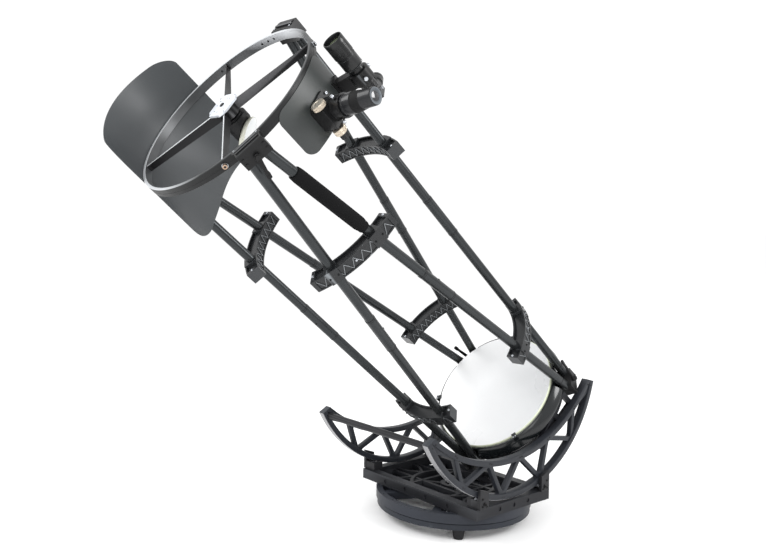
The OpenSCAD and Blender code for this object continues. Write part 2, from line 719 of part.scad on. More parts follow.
module hub_plate() color("#cfd2d4") on_tube() difference() {
  translate([0, 0, ring_z - 2]) intersection() {
    translate([-42, -42, 0]) cube([84, 84, 7]);
    rotate([0, 0, 45]) translate([-47, -47, 0]) cube([94, 94, 7]);
  }
  translate([0, 0, ring_z - 3]) cylinder(r = 6 + seat_gap, h = 10);
  for (i = [0 : 3]) rotate([0, 0, 90 * i]) translate([27, 0, ring_z - 3]) cylinder(r = 3, h = 10);
}

// Frame at the middle of the secondary's face: x along the focuser axis
module secondary_seat() rotate([0, 0, focuser_angle]) translate([0, 0, focuser_z]) children();

module secondary_holder() color("#18191b") on_tube() {
  translate([0, 0, ring_z - 60]) cylinder(r = 6, h = 66);
  secondary_seat() difference() {
    union() {
      translate([0, 0, -60]) cylinder(r = 38, h = ring_z + 16 - focuser_z);
      translate([0, 0, ring_z - 45 - focuser_z]) cylinder(r = 30, h = 6);
    }
    rotate([0, -45, 0]) translate([-150, -100, -300]) cube([300, 200, 300 + glass_t]);
  }
}

module secondary_mirror() color("#e6e9ea") on_tube() secondary_seat() intersection() {
  translate([0, 0, -70]) cylinder(r = secondary_r, h = 180);
  rotate([0, -45, 0]) translate([-100, -100, 0]) cube([200, 200, glass_t]);
}

module focuser_body() color("#1a1b1d") on_tube() difference() {
  union() {
    radial(focuser_angle, ring_r + 8, focuser_z) cylinder(r = 34, h = 38);
    intersection() {
      radial(focuser_angle, ring_r - 12, focuser_z) translate([-46, -44, 0]) cube([92, 88, 22]);
      radial(focuser_angle, ring_r - 12, focuser_z) cylinder(r = 54, h = 22);
    }
    seat(focuser_angle, axle_rad, focuser_z) translate([-25, axle_off - 11, -32]) cube([36, 24, 64]);
    for (i = [0 : 3]) radial(focuser_angle, ring_r + 8, focuser_z) rotate([0, 0, 45 + 90 * i])
      translate([46, 0, 0]) cylinder(r = screw_r, h = 5);
  }
  translate([0, 0, focuser_z - 100]) cylinder(r = ring_r + sheet_t, h = 200);
  radial(focuser_angle, ring_r - 20, focuser_z) cylinder(r = drawtube_r + run_gap, h = 90);
  seat(focuser_angle, axle_rad, focuser_z) translate([0, axle_off, -50]) cylinder(r = axle_r + run_gap, h = 100);
}

module drawtube() color("#222426") on_tube() radial(focuser_angle, ring_r - 12, focuser_z) difference() {
  union() {
    cylinder(r = drawtube_r, h = 62);
    translate([0, 0, 59]) cylinder(r = 33, h = 30);
    for (a = [70, 190, 310]) rotate([0, 0, a]) translate([30, 0, 76]) rotate([0, 90, 0]) {
      cylinder(r = 2.5, h = 8);
      translate([0, 0, 7]) cylinder(r = 4.5, h = 8);
    }
  }
  translate([0, 0, -eps]) cylinder(r = barrel_r - 3, h = 100);
  translate([0, 0, 40]) cylinder(r = barrel_r + run_gap, h = 60);
}

module axle_place() on_tube() seat(focuser_angle, axle_rad, focuser_z) translate([0, axle_off, 0]) children();

module coarse_knob() color("#d8cbb8") axle_place() difference() {
  union() {
    translate([0, 0, -38]) cylinder(r = axle_r, h = 76);
    translate([0, 0, 33]) cylinder(r = 9, h = 5);
    translate([0, 0, 37]) cylinder(r = 20, h = 14);
    translate([0, 0, -38]) cylinder(r = 9, h = 5);
    translate([0, 0, -54]) cylinder(r = 18, h = 17);
  }
  translate([0, 0, -60]) cylinder(r = 2 + run_gap, h = 30);
}

module fine_knob() color("#151617") axle_place() {
  translate([0, 0, -72]) cylinder(r = 12, h = 17);
  translate([0, 0, -56]) cylinder(r = 2, h = 22);
}

module eyepiece() color("#1c1d1f") on_tube() radial(focuser_angle, ring_r - 12, focuser_z) {
  difference() {
    union() {
      translate([0, 0, 45]) cylinder(r = barrel_r, h = 46);
      translate([0, 0, 89 + side_gap]) cylinder(r = 29, h = 34);
      translate([0, 0, 122]) cylinder(r1 = 29, r2 = 24, h = 34);
      translate([0, 0, 156]) cylinder(r = 24, h = 34);
    }
    translate([0, 0, 44]) cylinder(r = 21, h = 60);
    translate([0, 0, 186]) cylinder(r = 17, h = 6);
  }
}

module finder_place() on_tube() seat(finder_angle, finder_rad, finder_z) children();

module finder_bracket() color("#17181a") on_tube() difference() {
  union() {
    seat(finder_angle, 0, 0) {
      translate([ring_r - 6, -14, finder_z - 150]) cube([finder_rad - ring_r - 10, 28, 44]);
      translate([ring_r - 6, -20, finder_z - 158]) cube([16, 40, 60]);
    }
    seat(finder_angle, finder_rad, finder_z - 146) cylinder(r = 30, h = 36);
    seat(finder_angle, finder_rad, finder_z - 128) for (a = [60, 180, 300]) rotate([0, 90, a])
      translate([0, 0, 28]) cylinder(r = 4, h = 9);
  }
  translate([0, 0, finder_z - 200]) cylinder(r = ring_r + sheet_t, h = 200);
  seat(finder_angle, finder_rad, finder_z - 200) cylinder(r = 22, h = 200);
}

module finder_tube() color("#141516") finder_place() difference() {
  union() {
    translate([0, 0, -52]) cylinder(r = 28.5, h = 52);
    translate([0, 0, -90]) cylinder(r = 27, h = 39);
    translate([0, 0, -98]) cylinder(r1 = 22, r2 = 27, h = 8);
    translate([0, 0, -176]) cylinder(r = 22, h = 79);
    translate([-21, -21, -206]) cube([42, 42, 34]);
    translate([0, 20, -189]) rotate([-90, 0, 0]) cylinder(r = 17, h = 22);
    translate([0, 40, -189]) rotate([-90, 0, 0]) cylinder(r = 20, h = 26);
    translate([20, 0, -189]) rotate([0, 90, 0]) cylinder(r = 5, h = 8);
  }
  translate([0, 0, -40]) cylinder(r = 25.5, h = 41);
  translate([0, 0, -170]) cylinder(r = 18, h = 140);
  translate([0, 62, -189]) rotate([-90, 0, 0]) cylinder(r = 11, h = 6);
}

module finder_lens() color("#7d8f86") finder_place() translate([0, 0, -14]) cylinder(r = 25.5, h = 6);

// ---- output ------------------------------------------------------------

ground_ring();
feet();
pivot_bolt();
turntable();
rocker_frame();
block_front_right();
block_front_left();
block_rear_right();
block_rear_left();
roller_front_right();
roller_front_left();
roller_rear_right();
roller_rear_left();
crescent_right();
crescent_left();
running_strips();
tie_bar();
mirror_cell();
cell_frame();
primary_mirror();
clamp_low_right();
clamp_low_left();
clamp_low_front();
lever_low_right();
lever_low_left();
lever_low_front();
lower_poles_right();
lower_poles_left();
lower_poles_front();
lower_arc_right();
lower_arc_left();
lower_arc_front();
upper_poles_right();
upper_poles_back();
upper_poles_left();
foam_grip();
upper_arc_right();
upper_arc_back();
upper_arc_left();
clamp_top_right();
clamp_top_back();
clamp_top_left();
lever_top_right();
lever_top_back();
lever_top_left();
upper_ring();
light_shield();
focuser_board();
spider();
hub_plate();
secondary_holder();
secondary_mirror();
focuser_body();
drawtube();
coarse_knob();
fine_knob();
eyepiece();
finder_bracket();
finder_tube();
finder_lens();
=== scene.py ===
"""Truss-tube reflector on a rocker base: detailed pieces, finishes, light and camera.

Sizes are in millimetres until a piece is finished. Tube pieces are placed in
the tube frame: z along the optical axis toward the sky, x along the altitude
axis, origin where the two cross.
"""
import json
import math

import bmesh
import bpy
from mathutils import Matrix, Vector


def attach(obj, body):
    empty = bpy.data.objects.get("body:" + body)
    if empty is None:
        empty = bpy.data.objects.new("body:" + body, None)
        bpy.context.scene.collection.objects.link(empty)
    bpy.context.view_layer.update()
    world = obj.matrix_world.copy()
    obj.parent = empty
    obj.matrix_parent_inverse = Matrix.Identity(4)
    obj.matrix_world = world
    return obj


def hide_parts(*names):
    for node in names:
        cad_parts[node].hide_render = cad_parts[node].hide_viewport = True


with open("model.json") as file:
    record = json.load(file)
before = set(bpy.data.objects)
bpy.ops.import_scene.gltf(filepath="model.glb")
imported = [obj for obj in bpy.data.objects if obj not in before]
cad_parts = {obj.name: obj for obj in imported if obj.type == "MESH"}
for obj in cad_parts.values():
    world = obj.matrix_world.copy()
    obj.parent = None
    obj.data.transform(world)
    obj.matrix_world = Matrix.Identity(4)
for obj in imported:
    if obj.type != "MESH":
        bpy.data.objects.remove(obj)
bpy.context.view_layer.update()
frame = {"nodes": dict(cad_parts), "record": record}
nodes = frame["nodes"]
body_of = {}
for body_name, members in frame["record"]["behaviour"]["bodies"].items():
    for member in members:
        body_of[member] = body_name

# ---- sizes shared with the CAD model ------------------------------------

REST_ALTITUDE = 39
AXIS_H = 573
BEARING_R = 448
BEARING_HALF = 68
INNER_R, INNER_SHIFT = 538, 222
BEARING_X, BEARING_T, RIM_W = 253, 26, 16
MID_ANGLE = 226
MIRROR_R, MIRROR_T, MIRROR_Z, FOCAL = 229, 40, -261, 1900
POLE_R = 15
TOP_R, TOP_Z, TOP_HALF = 325, 1194, 20
LOW_R, LOW_Z, LOW_HALF = 255, -372, 17
SLEEVE_Z, SLEEVE_L = 375, 150
ARC_W, ARC_H, ARC_HALF = 45, 41, 28.5
RING_R, RING_W, RING_H, RING_Z = 305, 9, 29, 1218
FOCUSER_A, FOCUSER_Z = 10.5, 1102
AXLE_OFF, AXLE_RAD = -33, 338
FINDER_A, FINDER_RAD, FINDER_Z = 31, 380, 1217
SIDE_GAP = 0.3
FORK_Z, FORK_FACE, FORK_PIN_Y, FORK_PIN_Z = 120, 279.5, 150.1, 135.75
TABLE_SCREW_R, TABLE_TOP = 257, 86
UPPER_ARC_R, UPPER_ARC_Z = 309, 765
LOWER_ARC_R, LOWER_ARC_Z = 276, 9
CLAMP_TOP_R, CLAMP_LOW_R = 346, 277
LEVER_TOP_Z, LEVER_LOW_Z = 1186, -332
CLIP_A = -40
SIDES = ("right", "back", "left")
LOW_SIDES = ("right", "left", "front")

# ---- placing ------------------------------------------------------------


def turn(axis, degrees):
    return Matrix.Rotation(math.radians(degrees), 4, axis)


def move(x, y, z):
    return Matrix.Translation((x, y, z))


TO_METRES = Matrix.Scale(0.001, 4)
TUBE = move(0, 0, AXIS_H) @ turn("X", 90 - REST_ALTITUDE)


def seat(a, r, z):
    """x outward at angle a, z toward the sky."""
    return TUBE @ turn("Z", a) @ move(r, 0, z)


def radial(a, r, z):
    """z outward at angle a."""
    return seat(a, r, z) @ turn("Y", 90)


def along(p, q):
    """Tube-frame axis from p to q, as z."""
    way = (q - p).normalized()
    return TUBE @ Matrix.Translation(p) @ way.to_track_quat("Z", "Y").to_matrix().to_4x4()


def polar(r, a, z):
    a = math.radians(a)
    return Vector((r * math.cos(a), r * math.sin(a), z))


def tangent(a):
    a = math.radians(a)
    return Vector((-math.sin(a), math.cos(a), 0))


def top_angle(k):
    return -30 + 120 * k


def pole_at(k, s, z):
    """Axis point of pole s of upper clamp k."""
    top = polar(TOP_R, top_angle(k), TOP_Z) + s * TOP_HALF * tangent(top_angle(k))
    low_a = top_angle(k) + 60 * s
    low = polar(LOW_R, low_a, LOW_Z) - s * LOW_HALF * tangent(low_a)
    return top.lerp(low, (TOP_Z - z) / (TOP_Z - LOW_Z))


# ---- mesh building ------------------------------------------------------


def quad_strip(bm, a, b, mat):
    """Closed band of faces between two rings of vertices, or a ring and a point."""
    count = max(len(a), len(b))
    for i in range(count):
        j = (i + 1) % count
        if len(a) == 1:
            corners = (a[0], b[j], b[i])
        elif len(b) == 1:
            corners = (a[i], a[j], b[0])
        else:
            corners = (a[i], a[j], b[j], b[i])
        bm.faces.new(corners).material_index = mat


def lathe(bm, place, profile, segs=64, mat=0):
    """Turns (radius, z[, ridge depth[, material]]) points about z."""
    rings = []
    for point in profile:
        r, z = point[0], point[1]
        depth = point[2] if len(point) > 2 else 0
        if r == 0:
            rings.append([bm.verts.new(place @ Vector((0, 0, z)))])
            continue
        ring = []
        for i in range(segs):
            a = 2 * math.pi * i / segs
            cut = r - depth * (i % 2)
            ring.append(bm.verts.new(place @ Vector((cut * math.cos(a), cut * math.sin(a), z))))
        rings.append(ring)
    for n in range(len(rings) - 1):
        point = profile[n + 1]
        quad_strip(bm, rings[n], rings[n + 1], point[3] if len(point) > 3 else mat)


def tube_ring(bm, place, r_in, r_out, z0, z1, segs=64, edge=0.6, mat=0):
    """Ring of rectangular section with eased edges."""
    lathe(
        bm,
        place,
        [
            (r_in, z0 + edge),
            (r_in + edge, z0),
            (r_out - edge, z0),
            (r_out, z0 + edge),
            (r_out, z1 - edge),
            (r_out - edge, z1),
            (r_in + edge, z1),
            (r_in, z1 - edge),
            (r_in, z0 + edge),
        ],
        segs,
        mat,
    )


def block(bm, place, low, high, mat=0):
    corners = []
    for z in (low[2], high[2]):
        for x, y in ((low[0], low[1]), (high[0], low[1]), (high[0], high[1]), (low[0], high[1])):
            corners.append(bm.verts.new(place @ Vector((x, y, z))))
    for ids in ((0, 3, 2, 1), (4, 5, 6, 7), (0, 1, 5, 4), (1, 2, 6, 5), (2, 3, 7, 6), (3, 0, 4, 7)):
        bm.faces.new([corners[i] for i in ids]).material_index = mat


def sweep(bm, place, section, a0, a1, steps, mat=0):
    """Sweeps a closed (radius, z) section about z from a0 to a1 degrees."""
    rings = []
    for i in range(steps + 1):
        a = math.radians(a0 + (a1 - a0) * i / steps)
        rings.append(
            [bm.verts.new(place @ Vector((r * math.cos(a), r * math.sin(a), z))) for r, z in section]
        )
    for a, b in zip(rings, rings[1:]):
        quad_strip(bm, a, b, mat)
    for ring in (rings[0], rings[-1]):
        bm.faces.new(ring).material_index = mat


def screw(bm, place, r, h, mat=0, socket=True):
    """Cap head with an eased rim and a hexagonal socket; z points out of the head."""
    profile = [(r, -1), (r, h - 0.5), (r - 0.6, h)]
    if socket:
        profile += [(r * 0.5, h), (r * 0.46, h - r * 0.45), (0, h - r * 0.5)]
    else:
        profile += [(0, h + 0.1)]
    lathe(bm, place, profile, 24, mat)


def rounded(points, radius, steps=4):
    """Closed outline with its corners rounded, given as (u, v) pairs."""
    out = []
    count = len(points)
    for i in range(count):
        here = Vector(points[i])
        before = Vector(points[i - 1]) - here
        after = Vector(points[(i + 1) % count]) - here
        turn_by = math.pi - before.angle(after)
        if turn_by < math.radians(12):
            out.append(tuple(here))
            continue
        half = (math.pi - turn_by) / 2
        cut = min(radius / math.tan(half), 0.45 * before.length, 0.45 * after.length)
        start, end = here + before.normalized() * cut, here + after.normalized() * cut
        for k in range(steps + 1):
            t = k / steps
            out.append(tuple((1 - t) ** 2 * start + 2 * t * (1 - t) * here + t * t * end))
    return out


def plate(bm, place, outlines, thickness, edge, mat=0):
    """Flat plate with eased edges: the first outline is its rim, the rest are holes."""
    curve = bpy.data.curves.new("outline", "CURVE")
    curve.dimensions = "2D"
    curve.fill_mode = "BOTH"
    curve.extrude = thickness / 2 - edge
    curve.bevel_depth = edge
    curve.bevel_resolution = 1
    for points in outlines:
        spline = curve.splines.new("POLY")
        spline.points.add(len(points) - 1)
        for i, (u, v) in enumerate(points):
            spline.points[i].co = (u, v, 0, 1)
        spline.use_cyclic_u = True
    holder = bpy.data.objects.new("outline", curve)
    bpy.context.scene.collection.objects.link(holder)
    bpy.context.view_layer.update()
    mesh = bpy.data.meshes.new_from_object(
        holder.evaluated_get(bpy.context.evaluated_depsgraph_get())
    )
    bpy.data.objects.remove(holder)
    bpy.data.curves.remove(curve)
    mesh.transform(place)
    known = len(bm.faces)
    bm.from_mesh(mesh)
    bm.faces.ensure_lookup_table()
    for face in bm.faces[known:]:
        face.material_index = mat
    bpy.data.meshes.remove(mesh)


def piece(name, node, bm, mats, replaces=(), bevel=0.0, sharp=38):
    """Makes the object that rides with a CAD node's body."""
    bmesh.ops.remove_doubles(bm, verts=bm.verts, dist=0.002)
    loose = [v for v in bm.verts if not v.link_faces]
    if loose:
        bmesh.ops.delete(bm, geom=loose, context="VERTS")
    bmesh.ops.recalc_face_normals(bm, faces=bm.faces)
    bm.transform(TO_METRES)
    mesh = bpy.data.meshes.new(name)
    bm.to_mesh(mesh)
    bm.free()
    return place_mesh(name, node, mesh, mats, replaces, bevel, sharp)


def place_mesh(name, node, mesh, mats, replaces, bevel, sharp):
    for mat in mats:
        mesh.materials.append(mat)
    for poly in mesh.polygons:
        poly.use_smooth = True
    mesh.set_sharp_from_angle(angle=math.radians(sharp))
    obj = bpy.data.objects.new(name, mesh)
    bpy.context.scene.collection.objects.link(obj)
    if bevel:
        mod = obj.modifiers.new("eased", "BEVEL")
        mod.width = bevel / 1000
        mod.segments = 2
        mod.limit_method = "ANGLE"
        mod.angle_limit = math.radians(sharp)
        mod.harden_normals = True
    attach(obj, body_of[node])
    if replaces:
        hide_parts(*replaces)
    return obj


def dress(node, mat, bevel=0.7, sharp=38):
    """Carries a CAD node over with welded corners, eased edges and its finish."""
    bm = bmesh.new()
    bm.from_mesh(nodes[node].data)
    bmesh.ops.remove_doubles(bm, verts=bm.verts, dist=2e-6)
    bmesh.ops.dissolve_limit(
        bm, angle_limit=math.radians(0.4), verts=bm.verts, edges=bm.edges, delimit={"NORMAL"}
    )
    bmesh.ops.recalc_face_normals(bm, faces=bm.faces)
    bm.verts.index_update()
    mesh = bpy.data.meshes.new(node + "_skin")
    mesh.from_pydata(
        [tuple(v.co) for v in bm.verts], [], [[v.index for v in f.verts] for f in bm.faces]
    )
    bm.free()
    return place_mesh(node + "_skin", node, mesh, [mat], (node,), bevel, sharp)


# ---- finishes -----------------------------------------------------------


def new_material(name):
    mat = bpy.data.materials.new(name)
    mat.use_nodes = True
    tree = mat.node_tree
    return mat, tree, tree.nodes["Principled BSDF"]


def noise(tree, coords, scale, detail=4.0, stretch=None):
    if stretch:
        mapping = tree.nodes.new("ShaderNodeMapping")
        mapping.inputs["Scale"].default_value = stretch
        tree.links.new(coords, mapping.inputs["Vector"])
        coords = mapping.outputs["Vector"]
    tex = tree.nodes.new("ShaderNodeTexNoise")
    tex.inputs["Scale"].default_value = scale
    tex.inputs["Detail"].default_value = detail
    tree.links.new(coords, tex.inputs["Vector"])
    return tex.outputs["Fac"]


def spread(tree, value, low, high, start=0.3, end=0.7):
    node = tree.nodes.new("ShaderNodeMapRange")
    node.inputs["From Min"].default_value = start
    node.inputs["From Max"].default_value = end
    node.inputs["To Min"].default_value = low
    node.inputs["To Max"].default_value = high
    tree.links.new(value, node.inputs["Value"])
    return node.outputs["Result"]


def blend_colours(tree, fac, a, b):
    node = tree.nodes.new("ShaderNodeMix")
    node.data_type = "RGBA"
    tree.links.new(fac, node.inputs["Factor"])
    for socket, colour in ((node.inputs[6], a), (node.inputs[7], b)):
        if isinstance(colour, tuple):
            socket.default_value = (*colour, 1)
        else:
            tree.links.new(colour, socket)
    return node.outputs[2]


def finish(
    name,
    colour,
    rough,
    vary=0.1,
    grain=900,
    bump=0.12,
    metal=0.0,
    specular=0.22,
    coat=0.0,
    edge_wear_and_highlight=None,
    tint=0.16,
    stretch=None,
    depth=0.0003,
):
    """Coloured surface with broad variation, fine grain and lighter edges: worn paint, and on the
    braces a painted highlight.
    """
    mat, tree, shader = new_material(name)
    coords = tree.nodes.new("ShaderNodeTexCoord").outputs["Object"]
    broad = noise(tree, coords, 11, 5)
    fine = noise(tree, coords, grain, 3, stretch)
    dark = tuple(c * (1 - tint) for c in colour)
    light = tuple(c * (1 + tint) for c in colour)
    base = blend_colours(tree, spread(tree, broad, 0, 1), dark, light)
    base = blend_colours(tree, spread(tree, fine, 0, 0.35, 0.55, 0.75), base, light)
    if edge_wear_and_highlight:
        geometry = tree.nodes.new("ShaderNodeNewGeometry")
        edge = spread(tree, geometry.outputs["Pointiness"], 0, 0.45, 0.56, 0.66)
        base = blend_colours(tree, edge, base, edge_wear_and_highlight)
    tree.links.new(base, shader.inputs["Base Color"])
    tree.links.new(
        spread(tree, broad, max(rough - vary, 0.02), rough + vary), shader.inputs["Roughness"]
    )
    relief = tree.nodes.new("ShaderNodeBump")
    relief.inputs["Strength"].default_value = bump
    relief.inputs["Distance"].default_value = depth
    tree.links.new(fine, relief.inputs["Height"])
    tree.links.new(relief.outputs["Normal"], shader.inputs["Normal"])
    shader.inputs["Metallic"].default_value = metal
    shader.inputs["Specular IOR Level"].default_value = specular
    if coat:
        shader.inputs["Coat Weight"].default_value = coat
        shader.inputs["Coat Roughness"].default_value = 0.12
    return mat


def graded(name, axis, start, end, low, high, rough, metal=0.0, coat=0.0, grain=700, bump=0.03):
    """Colour that runs from low to high along one axis of the object, in metres; the script uses it
    for painted light, shade and reflections.
    """
    mat, tree, shader = new_material(name)
    coords = tree.nodes.new("ShaderNodeTexCoord").outputs["Object"]
    dot = tree.nodes.new("ShaderNodeVectorMath")
    dot.operation = "DOT_PRODUCT"
    dot.inputs[1].default_value = axis
    tree.links.new(coords, dot.inputs[0])
    fac = spread(tree, dot.outputs["Value"], 0, 1, start, end)
    base = blend_colours(tree, fac, low, high)
    haze = noise(tree, coords, 6, 3)
    base = blend_colours(tree, spread(tree, haze, 0, 0.12), base, tuple(0.85 * c for c in high))
    tree.links.new(base, shader.inputs["Base Color"])
    tree.links.new(spread(tree, haze, rough - 0.04, rough + 0.06), shader.inputs["Roughness"])
    relief = tree.nodes.new("ShaderNodeBump")
    relief.inputs["Strength"].default_value = bump
    relief.inputs["Distance"].default_value = 0.0002
    tree.links.new(noise(tree, coords, grain, 2), relief.inputs["Height"])
    tree.links.new(relief.outputs["Normal"], shader.inputs["Normal"])
    shader.inputs["Metallic"].default_value = metal
    if coat:
        shader.inputs["Coat Weight"].default_value = coat
        shader.inputs["Coat Roughness"].default_value = 0.1
    return mat


PALE_EDGE = (0.16, 0.17, 0.18)
board_coat = finish("board_coat", (0.022, 0.025, 0.032), 0.5, edge_wear_and_highlight=(0.09, 0.1, 0.115))
table_coat = finish("table_coat", (0.026, 0.029, 0.037), 0.48, edge_wear_and_highlight=(0.1, 0.11, 0.125))
rail_coat = finish("rail_coat", (0.011, 0.0115, 0.014), 0.5, edge_wear_and_highlight=(0.05, 0.053, 0.06))
fork_coat = finish("fork_coat", (0.014, 0.014, 0.016), 0.45, edge_wear_and_highlight=(0.07, 0.072, 0.078))
bearing_coat = finish("bearing_coat", (0.02, 0.022, 0.027), 0.42, edge_wear_and_highlight=(0.1, 0.108, 0.12))
bar_coat = finish("bar_coat", (0.012, 0.012, 0.014), 0.4, edge_wear_and_highlight=(0.07, 0.07, 0.075))
cell_coat = finish(
    "cell_coat", (0.006, 0.0075, 0.0085), 0.24, vary=0.06, coat=0.5, edge_wear_and_highlight=(0.06, 0.066, 0.072)
)
cell_frame_coat = finish("cell_frame_coat", (0.012, 0.0125, 0.015), 0.45, edge_wear_and_highlight=PALE_EDGE)
clamp_coat = finish("clamp_coat", (0.009, 0.009, 0.0095), 0.38, edge_wear_and_highlight=PALE_EDGE)
lever_plastic = finish("lever_plastic", (0.007, 0.007, 0.0075), 0.42, grain=1400)
# The braces' very pale edge colour is a painted highlight along their lips.
arc_coat = finish(
    "arc_coat", (0.013, 0.014, 0.0155), 0.34, coat=0.3, edge_wear_and_highlight=(0.42, 0.45, 0.48), tint=0.25
)
# Pale metal for the braces' zigzag ribs: painted highlight along the ribs.
rib_painted_highlight = finish("rib_painted_highlight", (0.2, 0.21, 0.22), 0.3, metal=0.6, edge_wear_and_highlight=(0.6, 0.62, 0.64))
pole_coat = finish(
    "pole_coat",
    (0.038, 0.041, 0.043),
    0.27,
    vary=0.05,
    metal=0.65,
    grain=500,
    stretch=(1, 1, 0.15),
    bump=0.02,
    tint=0.08,
)
line_coat = finish("line_coat", (0.01, 0.01, 0.011), 0.4)
grip_foam = finish(
    "grip_foam", (0.0045, 0.0045, 0.005), 0.93, grain=520, bump=0.6, specular=0.15, depth=0.0012
)
ring_coat = finish("ring_coat", (0.011, 0.0115, 0.012), 0.4, edge_wear_and_highlight=(0.2, 0.2, 0.21))
# Bright strips on the top edges of two spider vanes: painted highlight.
vane_painted_highlight = finish("vane_painted_highlight", (0.7, 0.72, 0.74), 0.3, metal=0.4, grain=60, tint=0.04)
# The shield is lighter at its top and darker toward its lower edge: painted shade.
shield_plastic = graded("shield_plastic", (0.55, 0.2, -0.8), -1.35, -0.75,
                        (0.047, 0.052, 0.056), (0.03, 0.034, 0.037), 0.42)
# The focuser board is darker low down and lighter toward its top: painted light and shade.
board_plastic = graded(
    "board_plastic", (0.2, 0, 1), 1.1, 1.45, (0.018, 0.02, 0.021), (0.036, 0.041, 0.04), 0.4
)
spider_coat = finish("spider_coat", (0.008, 0.008, 0.009), 0.42, edge_wear_and_highlight=(0.22, 0.22, 0.23))
hub_metal = finish("hub_metal", (0.72, 0.75, 0.8), 0.34, metal=0.45, tint=0.06)
holder_coat = finish("holder_coat", (0.006, 0.006, 0.0065), 0.5)
focuser_coat = finish("focuser_coat", (0.009, 0.009, 0.0095), 0.33, coat=0.15, edge_wear_and_highlight=PALE_EDGE)
knob_metal = finish(
    "knob_metal", (0.56, 0.49, 0.4), 0.3, metal=0.85, grain=900, stretch=(1, 1, 0.1), tint=0.12
)
knob_face = finish("knob_face", (0.78, 0.72, 0.62), 0.25, metal=0.8, tint=0.06)
steel = finish("steel", (0.5, 0.52, 0.55), 0.28, metal=0.9, tint=0.1)
copper_steel = finish("copper_steel", (0.42, 0.3, 0.22), 0.35, metal=0.8)
dark_screw = finish("dark_screw", (0.004, 0.004, 0.0045), 0.4)
eyepiece_coat = finish("eyepiece_coat", (0.009, 0.0095, 0.011), 0.35, coat=0.2, edge_wear_and_highlight=PALE_EDGE)
grip_rubber = finish("grip_rubber", (0.006, 0.006, 0.0065), 0.75, grain=600, bump=0.4)
lens_ring = finish("lens_ring", (0.09, 0.1, 0.11), 0.4, metal=0.3)
lens_dark = finish("lens_dark", (0.002, 0.003, 0.005), 0.08, vary=0.02, coat=1.0, bump=0.0)
finder_coat = finish("finder_coat", (0.008, 0.0085, 0.009), 0.3, coat=0.25, edge_wear_and_highlight=PALE_EDGE)
finder_glass = finish("finder_glass", (0.07, 0.085, 0.05), 0.12, vary=0.04, coat=1.0, bump=0.0)
foot_rubber = finish("foot_rubber", (0.012, 0.012, 0.013), 0.6, grain=700, bump=0.3)
strip_metal = finish(
    "strip_metal", (0.3, 0.3, 0.31), 0.25, metal=0.8, grain=400, stretch=(1, 0.2, 0.2)
)
# The primary's face is a pale grey that darkens along one axis: painted reflection.
mirror_painted_reflection = graded(
    "mirror_painted_reflection", (0.85, 0.1, 0.5), -0.02, 0.42, (0.93, 0.935, 0.94), (0.6, 0.61, 0.62), 0.3,
    metal=0.1,
)
glass_edge = finish("glass_edge", (0.62, 0.66, 0.5), 0.25, vary=0.08, coat=0.4, tint=0.1)
# The diagonal's face is a pale grey that lightens along one axis: painted reflection.
diagonal_painted_reflection = graded(
    "diagonal_painted_reflection", (0.3, 0, 1), 1.2, 1.4, (0.72, 0.74, 0.74), (0.86, 0.88, 0.88), 0.3
)
cream_edge = finish(
    "cream_edge", (0.6, 0.6, 0.52), 0.5, grain=120, bump=0.9, depth=0.003, tint=0.25
)

# ---- base and rocker ----------------------------------------------------

dress("ground_ring", board_coat, 1.6)
dress("turntable", table_coat, 1.6)
dress("pivot_bolt", steel, 0.8)
dress("rocker_frame", rail_coat, 0.9)
dress("feet", foot_rubber, 1.5)
for name in ("front_right", "front_left", "rear_right", "rear_left"):
    dress("block_" + name, fork_coat, 0.8)
    dress("roller_" + name, steel, 0.8)

bm = bmesh.new()
for sx in (-1, 1):
    for sy in (-1, 1):
        outward = turn("Y", 90 * sx)
        face = sx * FORK_FACE
        for y, z in ((160, 10), (160, 34), (141, 8)):
            screw(bm, move(face, sy * y, FORK_Z + z) @ outward, 3.6, 1.6)
        screw(bm, move(face, sy * FORK_PIN_Y, FORK_PIN_Z) @ outward, 6.5, 3)
piece("fork_screws", "rocker_frame", bm, [dark_screw])

bm = bmesh.new()
for i in range(24):
    a = 7.5 + 15 * i
    screw(bm, turn("Z", a) @ move(TABLE_SCREW_R, 0, TABLE_TOP), 2.6, 0.8)
piece("table_screws", "turntable", bm, [dark_screw])

# ---- altitude bearings --------------------------------------------------

BEARING_PLANE = TUBE @ turn("X", MID_ANGLE - 270)


def inner_at(a):
    a = math.radians(a)
    return -INNER_SHIFT * math.cos(a) + math.sqrt(INNER_R**2 - (INNER_SHIFT * math.sin(a)) ** 2)


def on_bearing(r, a):
    a = math.radians(a)
    return Vector((r * math.sin(a), -r * math.cos(a)))


def crossing(p, d, q, e):
    """Where line p + t d meets line q + s e."""
    t = ((q - p).cross(e)) / d.cross(e)
    return p + d * t


def sweep_to_arc(p, d, limit):
    """Last point along p + t d for which limit(point) is still negative."""
    low, high = 0.0, 400.0
    for _ in range(40):
        mid = (low + high) / 2
        if limit(p + d * mid) < 0:
            low = mid
        else:
            high = mid
    return p + d * low


